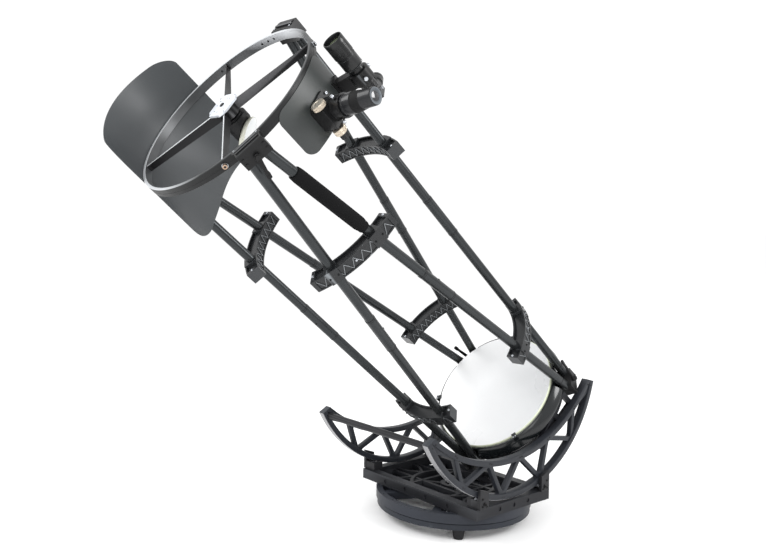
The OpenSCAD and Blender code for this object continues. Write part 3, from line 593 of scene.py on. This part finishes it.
def lattice_holes():
    count = 10
    step = 2 * (BEARING_HALF - 3) / count
    half_w = 6.5
    mid = RIM_W / 2
    struts = []
    for i in range(count):
        a = -BEARING_HALF + 3 + i * step
        outer_first = i % 2 == 0
        radii = (BEARING_R - mid, inner_at(a + step) + mid)
        if not outer_first:
            radii = (inner_at(a) + mid, BEARING_R - mid)
        struts.append((on_bearing(radii[0], a), on_bearing(radii[1], a + step)))

    def past_outer(p):
        return p.length - (BEARING_R - RIM_W)

    centre = Vector((0, INNER_SHIFT))

    def past_inner(p):
        return (INNER_R + RIM_W) - (p - centre).length

    holes = []
    for i in range(count - 1):
        (p, apex), (_, q) = struts[i], struts[i + 1]
        edges = []
        for far, side in ((p, 1), (q, -1)):
            way = (far - apex).normalized()
            middle = ((p + q) / 2 - apex).normalized()
            normal = Vector((-way.y, way.x))
            if normal.dot(middle) < 0:
                normal = -normal
            edges.append((apex + normal * half_w, way))
        tip = crossing(edges[0][0], edges[0][1], edges[1][0], edges[1][1])
        limit = past_inner if i % 2 else past_outer
        ends = [sweep_to_arc(tip, way, limit) for _, way in edges]
        outline = [tuple(tip), tuple(ends[0])]
        for k in range(1, 6):
            on_chord = ends[0].lerp(ends[1], k / 6)
            toward = (on_chord - tip).normalized()
            outline.append(tuple(sweep_to_arc(tip, toward, limit)))
        outline.append(tuple(ends[1]))
        holes.append(rounded(outline, 9))
    nodes_at = [s[0] for s in struts[1:]]
    return holes, nodes_at


def arc_points(radius_at, a0, a1, steps=60):
    angles = [a0 + (a1 - a0) * i / steps for i in range(steps + 1)]
    return [tuple(on_bearing(radius_at(a), a)) for a in angles]


holes, bearing_nodes = lattice_holes()
whole = arc_points(lambda a: BEARING_R - 0.8, -BEARING_HALF, BEARING_HALF)
whole += arc_points(inner_at, BEARING_HALF, -BEARING_HALF)
outer_rim = arc_points(lambda a: BEARING_R - 0.8, -BEARING_HALF, BEARING_HALF)
outer_rim += arc_points(lambda a: BEARING_R - RIM_W, BEARING_HALF, -BEARING_HALF)
inner_rim = arc_points(lambda a: min(inner_at(a) + RIM_W, BEARING_R - 1), -BEARING_HALF, BEARING_HALF)
inner_rim += arc_points(inner_at, BEARING_HALF, -BEARING_HALF)
for side, sx in (("right", 1), ("left", -1)):
    place = BEARING_PLANE @ Matrix(
        ((0, 0, 1, sx * BEARING_X), (1, 0, 0, 0), (0, 1, 0, 0), (0, 0, 0, 1))
    )
    bm = bmesh.new()
    plate(bm, place, [whole] + holes, 17.5, 1.0)
    plate(bm, place, [outer_rim], BEARING_T, 1.4)
    plate(bm, place, [inner_rim], BEARING_T - 1, 1.4)
    for point in bearing_nodes:
        for offset in (-5, 5):
            away = point.normalized()
            across = Vector((-away.y, away.x))
            spot = point + across * offset
            for face in (-1, 1):
                out = place @ move(spot.x, spot.y, face * (BEARING_T / 2 - 0.2))
                if face < 0:
                    out = out @ turn("X", 180)
                screw(bm, out, 3, 0.5, 1)
    for end in (-1, 1):
        for depth in (420, 436):
            spot = on_bearing(depth, end * (BEARING_HALF - 2.2))
            out = place @ move(spot.x, spot.y, sx * (BEARING_T / 2 - 0.2))
            if sx < 0:
                out = out @ turn("X", 180)
            screw(bm, out, 3.2, 0.6, 1)
    piece("bearing_" + side, "crescent_" + side, bm, [bearing_coat, dark_screw],
          ["crescent_" + side], sharp=32)
dress("running_strips", strip_metal, 0.4)
dress("tie_bar", bar_coat, 0.6)

# ---- mirror end ---------------------------------------------------------

dress("cell_frame", cell_frame_coat, 1.0)
bm = bmesh.new()
profile = [(0, -MIRROR_T), (MIRROR_R - 2, -MIRROR_T), (MIRROR_R, -MIRROR_T + 2),
           (MIRROR_R, -3, 0, 1), (MIRROR_R - 2.5, -0.2, 0, 1)]
for i in range(19, -1, -1):
    r = (MIRROR_R - 4) * i / 19
    profile.append((r, (r * r - MIRROR_R**2) / (4 * FOCAL), 0, 0))
lathe(bm, TUBE @ move(0, 0, MIRROR_Z), profile, 160)
piece("mirror", "primary_mirror", bm, [mirror_painted_reflection, glass_edge], ["primary_mirror"], sharp=25)

bm = bmesh.new()
flange = [(230.6, -7.5), (232, -6), (235, -6.4), (240, -10), (248, -20), (254, -32), (256, -40),
          (256, -43), (254.5, -45), (247, -46), (246, -47), (236, -47), (231, -45)]
flange = [(r, MIRROR_Z + z) for r, z in flange]
for low_clamp in (30, 150, 270):
    sweep(bm, TUBE, flange, low_clamp + 13.2, low_clamp + 120 - 13.2, 64)
lathe(bm, TUBE @ move(0, 0, MIRROR_Z), [(231, -56), (235.6, -56), (236, -55), (236, -12), (235, -9),
                                        (231.5, -8), (231, -9), (231, -56)], 160)
for i in range(3):
    clip = seat(CLIP_A + 120 * i, 0, MIRROR_Z)
    block(bm, clip, (MIRROR_R - 5, -8, 0.2), (MIRROR_R + 16, 8, 3.2))
    block(bm, clip, (MIRROR_R + 3, -8, -14), (MIRROR_R + 16, 8, 0.2))
piece("cell_ring", "mirror_cell", bm, [cell_coat], ["mirror_cell"], bevel=0.5, sharp=40)

bm = bmesh.new()
for i in range(3):
    place = seat(CLIP_A + 120 * i, MIRROR_R + 7, MIRROR_Z + 3)
    for y in (-4.5, 4.5):
        screw(bm, place @ move(3, y, 0), 2.4, 1.8)
piece("cell_screws", "mirror_cell", bm, [steel])

# ---- truss --------------------------------------------------------------

for side in LOW_SIDES:
    dress("lower_poles_" + side, pole_coat, 0.4)
for side in SIDES:
    dress("upper_poles_" + side, pole_coat, 0.4)

bm = bmesh.new()
for k in range(3):
    for s in (-1, 1):
        low, high = pole_at(k, s, SLEEVE_Z), pole_at(k, s, SLEEVE_Z + SLEEVE_L)
        axis = along(low, high)
        length = (high - low).length
        for at in (0, 5, length - 7, length - 1.5):
            tube_ring(bm, axis @ move(0, 0, at), POLE_R - 1, POLE_R + 1.4, -0.9, 0.9, 48, 0.3)
        screw(bm, axis @ move(0, 0, length * 0.55) @ turn("Z", 40 * s) @ turn("Y", 90)
              @ move(0, 0, POLE_R), 3.2, 2.6)
        foot = pole_at(k, s, LOW_Z + 20)
        tube_ring(bm, along(foot, pole_at(k, s, LOW_Z + 120)) @ move(0, 0, 74), POLE_R - 1,
                  POLE_R + 0.7, -1.2, 1.2, 48, 0.3)
piece("pole_lines", "lower_poles_right", bm, [line_coat])

bm = bmesh.new()
low, high = pole_at(0, 1, 790), pole_at(0, 1, 1070)
length = (high - low).length
profile = [(POLE_R + 0.2, 0.5), (16.6, 0), (17.8, 1.5), (18.2, 12), (19.6, 16), (20.7, 24)]
profile += [(20.9, length * t) for t in (0.25, 0.5, 0.75)]
profile += [(20.8, length - 20), (19.9, length - 9), (19.2, length - 2), (18, length),
            (POLE_R + 0.2, length - 0.5)]
lathe(bm, along(low, high), profile, 72)
piece("foam_sleeve", "foam_grip", bm, [grip_foam], ["foam_grip"], sharp=50)


def brace(name, node, mid_a, r_out, z_top, poles):
    """Curved channel between two poles: lips, ribbed faces and solid ends."""
    r_in = r_out - ARC_W
    z_low = z_top - ARC_H
    lip, slot, skin = 5, 9, 3.2
    channel = [
        (r_in, z_low), (r_in + lip, z_low), (r_in + lip, z_low + slot), (r_out - lip, z_low + slot),
        (r_out - lip, z_low), (r_out, z_low), (r_out, z_low + 4.5), (r_out - skin, z_low + 6),
        (r_out - skin, z_top - 6), (r_out, z_top - 4.5), (r_out, z_top), (r_out - lip, z_top),
        (r_out - lip, z_top - slot), (r_in + lip, z_top - slot), (r_in + lip, z_top),
        (r_in, z_top), (r_in, z_top - 4.5), (r_in + skin, z_top - 6), (r_in + skin, z_low + 6),
        (r_in, z_low + 4.5),
    ]
    solid = [(r_in, z_low), (r_out, z_low), (r_out, z_top), (r_in, z_top)]
    step_in = [(r_in + 3, z_low - 2), (r_out + 1.2, z_low - 2), (r_out + 1.2, z_top + 2),
               (r_in + 3, z_top + 2)]
    bm = bmesh.new()
    sweep(bm, TUBE, channel, mid_a - ARC_HALF + 2, mid_a + ARC_HALF - 2, 56)
    for s in (-1, 1):
        ends = sorted((mid_a + s * ARC_HALF, mid_a + s * (ARC_HALF - 2.4)))
        sweep(bm, TUBE, solid, ends[0], ends[1], 4)
    for a in poles:
        sweep(bm, TUBE, step_in, a - 4.0, a + 4.0, 8)
    first, last = mid_a - ARC_HALF + 3, mid_a + ARC_HALF - 3
    bays = 17
    for face, toward in ((r_out - 0.5, 1), (r_in + 0.5, -1)):
        for i in range(bays):
            a0 = first + (last - first) * i / bays
            a1 = first + (last - first) * (i + 1) / bays
            z0, z1 = (z_low + 6, z_top - 6) if i % 2 else (z_top - 6, z_low + 6)
            p, q = polar(face - toward * 1.6, a0, z0), polar(face - toward * 1.6, a1, z1)
            way = (q - p).normalized()
            out = polar(1, (a0 + a1) / 2, 0)
            cross = way.cross(out).normalized()
            axes = Matrix((way, cross, out)).transposed().to_4x4()
            place = TUBE @ Matrix.Translation(p) @ axes
            block(bm, place, (0, -0.9, -1.8), ((q - p).length, 0.9, 1.7), 1)
    for a in (mid_a - 1.0, mid_a + 14, mid_a - 14):
        screw(bm, radial(a, r_out - 2.6, z_top - ARC_H / 2), 3.4, 3.2, 2)
    for s in (-1, 1):
        screw(bm, seat(mid_a + s * (ARC_HALF - 1.3), r_out - ARC_W / 2, z_top), 4, 2.6, 2)
    for a in poles:
        for s in (-1, 1):
            screw(bm, radial(a + s * 2.6, r_out + 1.2, z_top - ARC_H / 2), 3, 2.2, 3)
    piece(name, node, bm, [arc_coat, rib_painted_highlight, steel, dark_screw], [node], bevel=0.5, sharp=30)


def pole_angle(k, s, z):
    p = pole_at(k, s, z)
    return math.degrees(math.atan2(p.y, p.x))


for k, side in enumerate(SIDES):
    at = UPPER_ARC_Z - ARC_H / 2
    brace("brace_upper_" + side, "upper_arc_" + side, top_angle(k), UPPER_ARC_R, UPPER_ARC_Z,
          [pole_angle(k, -1, at), pole_angle(k, 1, at)])
for k, side in enumerate(LOW_SIDES):
    at = LOWER_ARC_Z - ARC_H / 2
    brace("brace_lower_" + side, "lower_arc_" + side, top_angle(k) + 60, LOWER_ARC_R, LOWER_ARC_Z,
          [pole_angle(k, 1, at), pole_angle((k + 1) % 3, -1, at)])

for side in SIDES:
    dress("clamp_top_" + side, clamp_coat, 0.9)
for side in LOW_SIDES:
    dress("clamp_low_" + side, clamp_coat, 0.9)

bm = bmesh.new()
for k in range(3):
    a = top_angle(k)
    for y in (-37, 37):
        screw(bm, seat(a, RING_R + 8, 1221) @ move(0, y, 0), 3.2, 2)
    block(bm, seat(a, RING_R + 14, 1222), (0, -38, -1), (7, 38, 2.5), 1)
piece("clamp_trim", "clamp_top_right", bm, [steel, arc_coat], bevel=0.6)


def lever(name, node, place, length):
    """Ratchet lever: hub, tapered arm and rounded grip; z is the pin axis."""
    bm = bmesh.new()
    arm = [(0, -7.5), (14, -5), (length - 16, -3.4), (length - 8, -5.6), (length + 4, -5.4),
           (length + 6, 0), (length + 4, 5.4), (length - 8, 5.6), (length - 16, 3.4), (14, 5),
           (0, 7.5)]
    plate(bm, place @ move(0, 0, 6), [rounded(arm, 3)], 6.5, 1.2)
    lathe(bm, place, [(4.1, 0.2), (8.4, 0.2), (9, 1), (9, 11), (8.2, 12), (4.1, 12)], 32)
    grip = [(0, 1.6), (5, 2), (6.4, 4), (6.4, 8), (5, 10), (0, 10.4)]
    lathe(bm, place @ move(length, 0, 0), grip, 28)
    for i in range(5):
        x = 18 + i * (length - 36) / 5
        block(bm, place, (x, -3.6, 9), (x + 1.6, 3.6, 9.9))
    piece(name, node, bm, [lever_plastic], [node], bevel=0.3, sharp=40)


for k, side in enumerate(SIDES):
    lever("handle_top_" + side, "lever_top_" + side,
          radial(top_angle(k), CLAMP_TOP_R + SIDE_GAP, LEVER_TOP_Z) @ turn("Z", -12), 62)
for k, side in enumerate(LOW_SIDES):
    lever("handle_low_" + side, "lever_low_" + side,
          radial(top_angle(k) + 60, CLAMP_LOW_R + SIDE_GAP, LEVER_LOW_Z) @ turn("Z", 172), 88)

# ---- top end ------------------------------------------------------------

bm = bmesh.new()
r0, r1, z0, z1 = RING_R - RING_W, RING_R, RING_Z - RING_H, RING_Z
lathe(
    bm,
    TUBE,
    [
        (r0, z0 + 1), (r0 + 1, z0), (r1 - 1, z0, 0, 0), (r1, z0 + 1, 0, 0), (r1, z0 + 12, 0, 0),
        (r1 - 0.5, z0 + 12.6, 0, 0), (r1 - 0.5, z0 + 13.4, 0, 0), (r1, z0 + 14, 0, 0),
        (r1, z1 - 1.4, 0, 0), (r1 - 1.4, z1, 0, 1), (r0 + 1.4, z1, 0, 1), (r0, z1 - 1.4, 0, 1),
        (r0, z0 + 1, 0, 2),
    ],
    192,
)
# The ring's inner face turns near white toward its top: painted highlight.
ring_inside_painted_highlight = graded("ring_inside_painted_highlight", (0, 0, 1), 1.535, 1.57, (0.03, 0.032, 0.034),
                     (0.75, 0.77, 0.8), 0.32, metal=0.3, grain=60, bump=0.0)
# The rim's top face is pale at one side and dark toward +x: painted highlight.
ring_rim_painted_highlight = graded("ring_rim_painted_highlight", (1, 0, 0), 0.02, 0.16, (0.6, 0.62, 0.64),
                   (0.03, 0.032, 0.034), 0.32, metal=0.3, grain=60, bump=0.0)
piece("top_ring", "upper_ring", bm, [ring_coat, ring_rim_painted_highlight, ring_inside_painted_highlight], ["upper_ring"], sharp=30)

bm = bmesh.new()
for a in (98, 103, 108, 140, 300, 306):
    lathe(bm, radial(a, r0 - 0.15, RING_Z - RING_H / 2) @ turn("X", 180),
          [(0, -0.2), (3.4, -0.2), (3.4, 0.3), (2.6, 0.35), (2.4, -0.1), (0, -0.1)], 20)
for i in range(4):
    place = radial(45 + 90 * i, RING_R + 0.5, RING_Z - 16)
    lathe(bm, place, [(8.6, 0), (8.6, 1.2), (0, 1.3)], 32, 1)
    screw(bm, place @ move(0, 0, 1.4), 7, 5.6, 2 if i == 3 else 1)
piece("ring_hardware", "upper_ring", bm, [dark_screw, steel, copper_steel], sharp=35)

SHIELD_MID, SHIELD_SLOPE, SHEET_T = 200.7, 0.12, 2
SHIELD_LEFT, SHIELD_RIGHT, SHIELD_BOTTOM, SHIELD_CREST = -214, 210, 938, 1384
CROWN_R, CROWN_X = 700, 5
# Width and height of each elliptical corner; the upper right one is a long lean
LOW_LEFT, LOW_RIGHT, TOP_LEFT, TOP_RIGHT = (54, 54), (75, 80), (54, 36), (42, 290)


def corner(into, size):
    """Height that an elliptical corner takes off, at a distance in from the sheet's side."""
    width, height = size
    u = max(0, 1 - into / width)
    return height * (1 - math.sqrt(1 - min(1, u) ** 2))


def shield_edges(x):
    """Lower and upper edge of the sheet: a straight hem and a crowned top."""
    from_left, from_right = x - SHIELD_LEFT, SHIELD_RIGHT - x
    hem = SHIELD_BOTTOM + corner(from_left, LOW_LEFT) + corner(from_right, LOW_RIGHT)
    crown = SHIELD_CREST - CROWN_R + math.sqrt(CROWN_R**2 - (x - CROWN_X) ** 2)
    return hem, crown - corner(from_left, TOP_LEFT) - corner(from_right, TOP_RIGHT)


def shield_point(x, z, out):
    """Point of the sheet: it hugs the ring and is pressed in by the two poles below."""
    a = SHIELD_MID + math.degrees(math.asin(x / RING_R))
    off = a - top_angle(2)
    press = 1.3 * math.cos(math.radians(90 * off / 42)) ** 2 - 0.3 if abs(off) < 42 else -0.3
    r = RING_R + SIDE_GAP - SHIELD_SLOPE * max(0, RING_Z - RING_H - z) * press
    return TUBE @ polar(r + out, a, z)


bm = bmesh.new()
columns, levels = 72, 34
faces = []
for out in (0, SHEET_T):
    grid = []
    for i in range(columns + 1):
        across = (1 - math.cos(math.pi * i / columns)) / 2
        x = SHIELD_LEFT + (SHIELD_RIGHT - SHIELD_LEFT) * across
        low, high = shield_edges(x)
        grid.append([bm.verts.new(shield_point(x, low + (high - low) * j / levels, out))
                     for j in range(levels + 1)])
    for i in range(columns):
        for j in range(levels):
            bm.faces.new((grid[i][j], grid[i + 1][j], grid[i + 1][j + 1], grid[i][j + 1]))
    faces.append([grid[i][0] for i in range(columns + 1)] + grid[columns][1:]
                 + [grid[i][levels] for i in range(columns - 1, -1, -1)]
                 + [grid[0][j] for j in range(levels - 1, 0, -1)])
quad_strip(bm, faces[0], faces[1], 0)
piece("shield", "light_shield", bm, [shield_plastic], ["light_shield"], bevel=0.5, sharp=50)
dress("focuser_board", board_plastic, 0.5, sharp=30)
dress("spider", spider_coat, 0.3)
dress("hub_plate", hub_metal, 0.9)
dress("secondary_holder", holder_coat, 0.8)

bm = bmesh.new()
for i in range(4):
    a = 45 + 90 * i
    place = TUBE @ turn("Z", a)
    for r in (36, 52):
        screw(bm, place @ move(r - 8, 6, RING_Z + 5), 2.6, 1.2)
    # Bright strips on two of the four vanes only: painted highlight.
    if i > 1:
        block(bm, place, (30, -1.4, RING_Z - 4.6), (r0 - 1, 1.4, RING_Z - 3.2), 1)
lathe(bm, TUBE @ move(0, 0, RING_Z + 5), [(0, 0.2), (7.5, 0.2), (7.5, 2.4), (6.4, 3), (0, 3)], 6, 2)
piece("hub_hardware", "hub_plate", bm, [steel, vane_painted_highlight, dark_screw])

# Secondary: elliptical slice of a cylinder with an uneven sealed edge
bm = bmesh.new()
tilt = TUBE @ turn("Z", FOCUSER_A) @ move(0, 0, FOCUSER_Z) @ turn("Y", -45)
count = 96
rows = []
for level, shrink in ((0.0, 2.5), (0.9, 0.6), (5, 0), (11, 0.4), (15.5, 1.0), (16, 3.0)):
    row = []
    for i in range(count):
        a = 2 * math.pi * i / count
        rough_by = 0.9 * math.sin(5 * a + level) + 0.7 * math.sin(11 * a - 2 * level)
        rough_by *= 0 if level == 0 or level > 15.7 else 1
        long_r = (46 - shrink) * math.sqrt(2) + rough_by
        short_r = 46 - shrink + rough_by
        row.append(bm.verts.new(
            tilt @ Vector((long_r * math.cos(a) - level, short_r * math.sin(a), level))))
    rows.append(row)
for a, b in zip(rows, rows[1:]):
    quad_strip(bm, a, b, 1)
bm.faces.new(rows[0]).material_index = 0
bm.faces.new(rows[-1]).material_index = 1
piece("diagonal", "secondary_mirror", bm, [diagonal_painted_reflection, cream_edge], ["secondary_mirror"],
      sharp=50)

# ---- focuser ------------------------------------------------------------

dress("focuser_body", focuser_coat, 1.0)
dress("drawtube", focuser_coat, 0.5)
focus = radial(FOCUSER_A, RING_R - 12, FOCUSER_Z)
bm = bmesh.new()
for i in range(4):
    screw(bm, focus @ turn("Z", 45 + 90 * i) @ move(46, 0, 24), 4, 2.6)
for k in range(5):
    tube_ring(bm, focus @ move(0, 0, 30 + 5 * k), 33.5, 34.9, -1.1, 1.1, 72, 0.4, 1)
piece("focuser_trim", "focuser_body", bm, [steel, focuser_coat])
bm = bmesh.new()
for a in (70, 190, 310):
    place = focus @ turn("Z", a) @ move(33, 0, 76) @ turn("Y", 90)
    lathe(bm, place, [(2, 0), (2, 5), (4.6, 5.2), (5.2, 6, 0.5), (5.2, 11.5, 0.5), (4.4, 12.4),
                      (0, 12.4)], 32)
piece("thumb_screws", "drawtube", bm, [steel])
bm = bmesh.new()
for z in (60.5, 64, 84):
    tube_ring(bm, focus @ move(0, 0, z), 32.4, 33.7, -0.9, 0.9, 72, 0.3)
piece("collar_bands", "drawtube", bm, [line_coat])

axle = seat(FOCUSER_A, AXLE_RAD, FOCUSER_Z) @ move(0, AXLE_OFF, 0)
bm = bmesh.new()
lathe(bm, axle, [(2.1, -38), (3, -38), (3, 38), (0, 38)], 24, 1)
lathe(bm, axle, [(3, 33), (8.4, 33), (9, 33.6), (9, 37.2), (3, 37.2)], 48, 1)
lathe(bm, axle, [(3, 37), (18.6, 37), (20, 38.4, 0.7), (20, 43.4, 0.7), (19.2, 43.8), (19.2, 44.8),
                 (20, 45.2, 0.7), (20, 49.6, 0.7), (18.6, 51), (13, 51, 0, 2), (12.2, 50.2, 0, 2),
                 (0, 50.2, 0, 2)], 96)
lathe(bm, axle, [(2.1, -33), (8.4, -33), (9, -33.6), (9, -37.2), (2.1, -37.2)], 48, 1)
lathe(bm, axle, [(2.1, -37), (16.6, -37), (18, -38.4, 0.7), (18, -44.6, 0.7), (17.2, -45),
                 (17.2, -46), (18, -46.4, 0.7), (18, -52.6, 0.7), (16.6, -54), (2.1, -54)], 96)
piece("focus_knobs", "coarse_knob", bm, [knob_metal, focuser_coat, knob_face], ["coarse_knob"],
      sharp=30)
bm = bmesh.new()
lathe(bm, axle, [(0, -34), (2, -34), (2, -55), (11, -55), (12, -56, 0.6), (12, -70.8, 0.6),
                 (11, -72), (0, -72)], 64)
piece("fine_focus_knob", "fine_knob", bm, [focuser_coat], ["fine_knob"], sharp=30)

bm = bmesh.new()
lathe(
    bm,
    focus,
    [
        (21, 46), (25.4, 45), (25.4, 60), (24.8, 62), (24.8, 70), (25.4, 72), (25.4, 89.3),
        (28, 89.3, 0, 1), (29, 90.6, 0, 1), (29, 96, 0, 1), (28, 97, 0, 1), (28, 99, 0, 1),
        (29, 100, 0, 1), (29, 122, 0, 1), (28.6, 124, 0, 2), (27.8, 125, 0, 2), (28.4, 127, 0, 2),
        (27.4, 130, 0, 2), (27.9, 132, 0, 2), (26.8, 136, 0, 2), (27.2, 138, 0, 2),
        (26, 142, 0, 2), (26.3, 144, 0, 2), (25.2, 148, 0, 2), (25.3, 150, 0, 2), (24, 156, 0, 1),
        (24, 184, 0, 1), (23.4, 188, 0, 1), (22, 189.8, 0, 1), (17.5, 189.8, 0, 3),
        (13.5, 187.2, 0, 3), (12.4, 186.4, 0, 4), (8, 187.2, 0, 4), (0, 187.8, 0, 4),
    ],
    96,
)
piece("eyepiece_barrel", "eyepiece", bm,
      [steel, eyepiece_coat, grip_rubber, lens_ring, lens_dark], ["eyepiece"], sharp=35)

# ---- finder -------------------------------------------------------------

dress("finder_bracket", clamp_coat, 0.9)
finder = seat(FINDER_A, FINDER_RAD, FINDER_Z)
bm = bmesh.new()
profile = [(0, -176), (22, -176)]
for k in range(3):
    z = -168 + 5 * k
    profile += [(22, z), (21.3, z + 0.6), (21.3, z + 1.6), (22, z + 2.2)]
profile += [(22, -98), (23, -97), (27, -90), (27, -54), (26.2, -53.2), (26.2, -52.4), (28.5, -51.6)]
for k in range(8):
    z = -49 + 4.4 * k
    profile += [(28.5, z), (27.9, z + 0.6), (27.9, z + 1.6), (28.5, z + 2.2)]
profile += [(28.5, -1), (27.8, 0), (26, 0), (25.5, -1), (25.5, -14), (25.4, -14.5)]
profile += [(25.4 * math.cos(math.radians(90 * i / 6)) if i < 6 else 0,
             -14.4 + 3 * math.sin(math.radians(90 * i / 6)), 0, 1) for i in range(1, 7)]
lathe(bm, finder, profile, 72)
block(bm, finder, (-21, -21, -206), (21, 21, -172))
branch = finder @ move(0, 20, -189) @ turn("X", -90)
lathe(bm, branch, [(0, -2), (17, -2), (17, 18), (18, 19), (20, 21), (20, 26, 0.5), (20, 34, 0.5),
                   (19.4, 35), (20, 36, 0.5), (20, 43, 0.5), (19, 46), (12, 46), (11, 44.5, 0, 1),
                   (0, 45, 0, 1)], 64)
for z in (-60, -94):
    tube_ring(bm, finder @ move(0, 0, z), 26, 27.6, -0.8, 0.8, 72, 0.3)
piece("finder_body", "finder_tube", bm, [finder_coat, finder_glass], ["finder_tube", "finder_lens"],
      bevel=0.4, sharp=35)
bm = bmesh.new()
for a in (60, 180, 300):
    place = finder @ move(0, 0, -128) @ turn("Z", a) @ move(30, 0, 0) @ turn("Y", 90)
    lathe(bm, place, [(2.4, 0), (2.4, 4), (5.4, 4.4), (6, 5.2, 0.5), (6, 10, 0.5), (5.2, 11),
                      (0, 11)], 32)
screw(bm, finder @ move(21, 0, -189) @ turn("Y", 90), 5, 6)
screw(bm, finder @ move(-10, 21, -200) @ turn("X", -90), 2.4, 1.5)
piece("finder_screws", "finder_bracket", bm, [steel])

# ---- floor, light and camera --------------------------------------------

mesh = bpy.data.meshes.new("floor")
size = 60  # wide enough that its far edge fades into the world's white
mesh.from_pydata([(-size, -size, 0), (size, -size, 0), (size, size, 0), (-size, size, 0)], [],
                 [(0, 1, 2, 3)])
floor = bpy.data.objects.new("floor", mesh)
bpy.context.scene.collection.objects.link(floor)
floor_paint = finish("floor_paint", (0.97, 0.97, 0.97), 0.8, tint=0.01, bump=0.01, specular=0.0)
mesh.materials.append(floor_paint)

world = bpy.data.worlds.new("studio")
world.use_nodes = True
world.node_tree.nodes["Background"].inputs["Color"].default_value = (1, 1, 1, 1)
world.node_tree.nodes["Background"].inputs["Strength"].default_value = 1.05
bpy.context.scene.world = world
bpy.context.scene.view_settings.view_transform = "Standard"

for name, spot, target, watts, width in (
    ("key", (-1.6, -3.4, 3.6), (0, -0.3, 0.7), 110, 2.4),
    ("rim", (3.2, 1.6, 3.0), (0, -0.2, 0.8), 90, 1.6),
    ("front", (2.9, -3.6, 2.2), (0, -0.2, 0.5), 35, 2.0),
):
    light = bpy.data.lights.new(name, "AREA")
    light.energy = watts
    light.size = width
    lamp = bpy.data.objects.new(name, light)
    bpy.context.scene.collection.objects.link(lamp)
    lamp.location = spot
    lamp.rotation_euler = (Vector(target) - Vector(spot)).to_track_quat("-Z", "Y").to_euler()

# The camera's place in metres, and its lens in pixels of an image this wide
IMAGE_W, LENS_PX, SHIFT_X_PX, SHIFT_Y_PX = 766, 841.9894, 57.2263, -34.4269
CAMERA_AT = (2.027337, -2.16539, 1.050816)
heading, lift, roll = math.radians(38.0257), math.radians(-1.8704), math.radians(0.686)
forward = Vector((-math.cos(heading) * math.cos(lift), math.sin(heading) * math.cos(lift),
                  math.sin(lift)))
right = forward.cross(Vector((0, 0, 1))).normalized()
up = right.cross(forward)
right, up = (right * math.cos(roll) + up * math.sin(roll),
             up * math.cos(roll) - right * math.sin(roll))
camera = bpy.data.cameras.new("camera")
camera.sensor_width = 36
camera.lens = LENS_PX * camera.sensor_width / IMAGE_W
camera.shift_x = SHIFT_X_PX / IMAGE_W
camera.shift_y = SHIFT_Y_PX / IMAGE_W
camera.clip_end = 60
view = bpy.data.objects.new("camera", camera)
view.matrix_world = Matrix.Translation(CAMERA_AT) @ Matrix(
    (right, up, -forward)
).transposed().to_4x4()
bpy.context.scene.collection.objects.link(view)
bpy.context.scene.camera = view
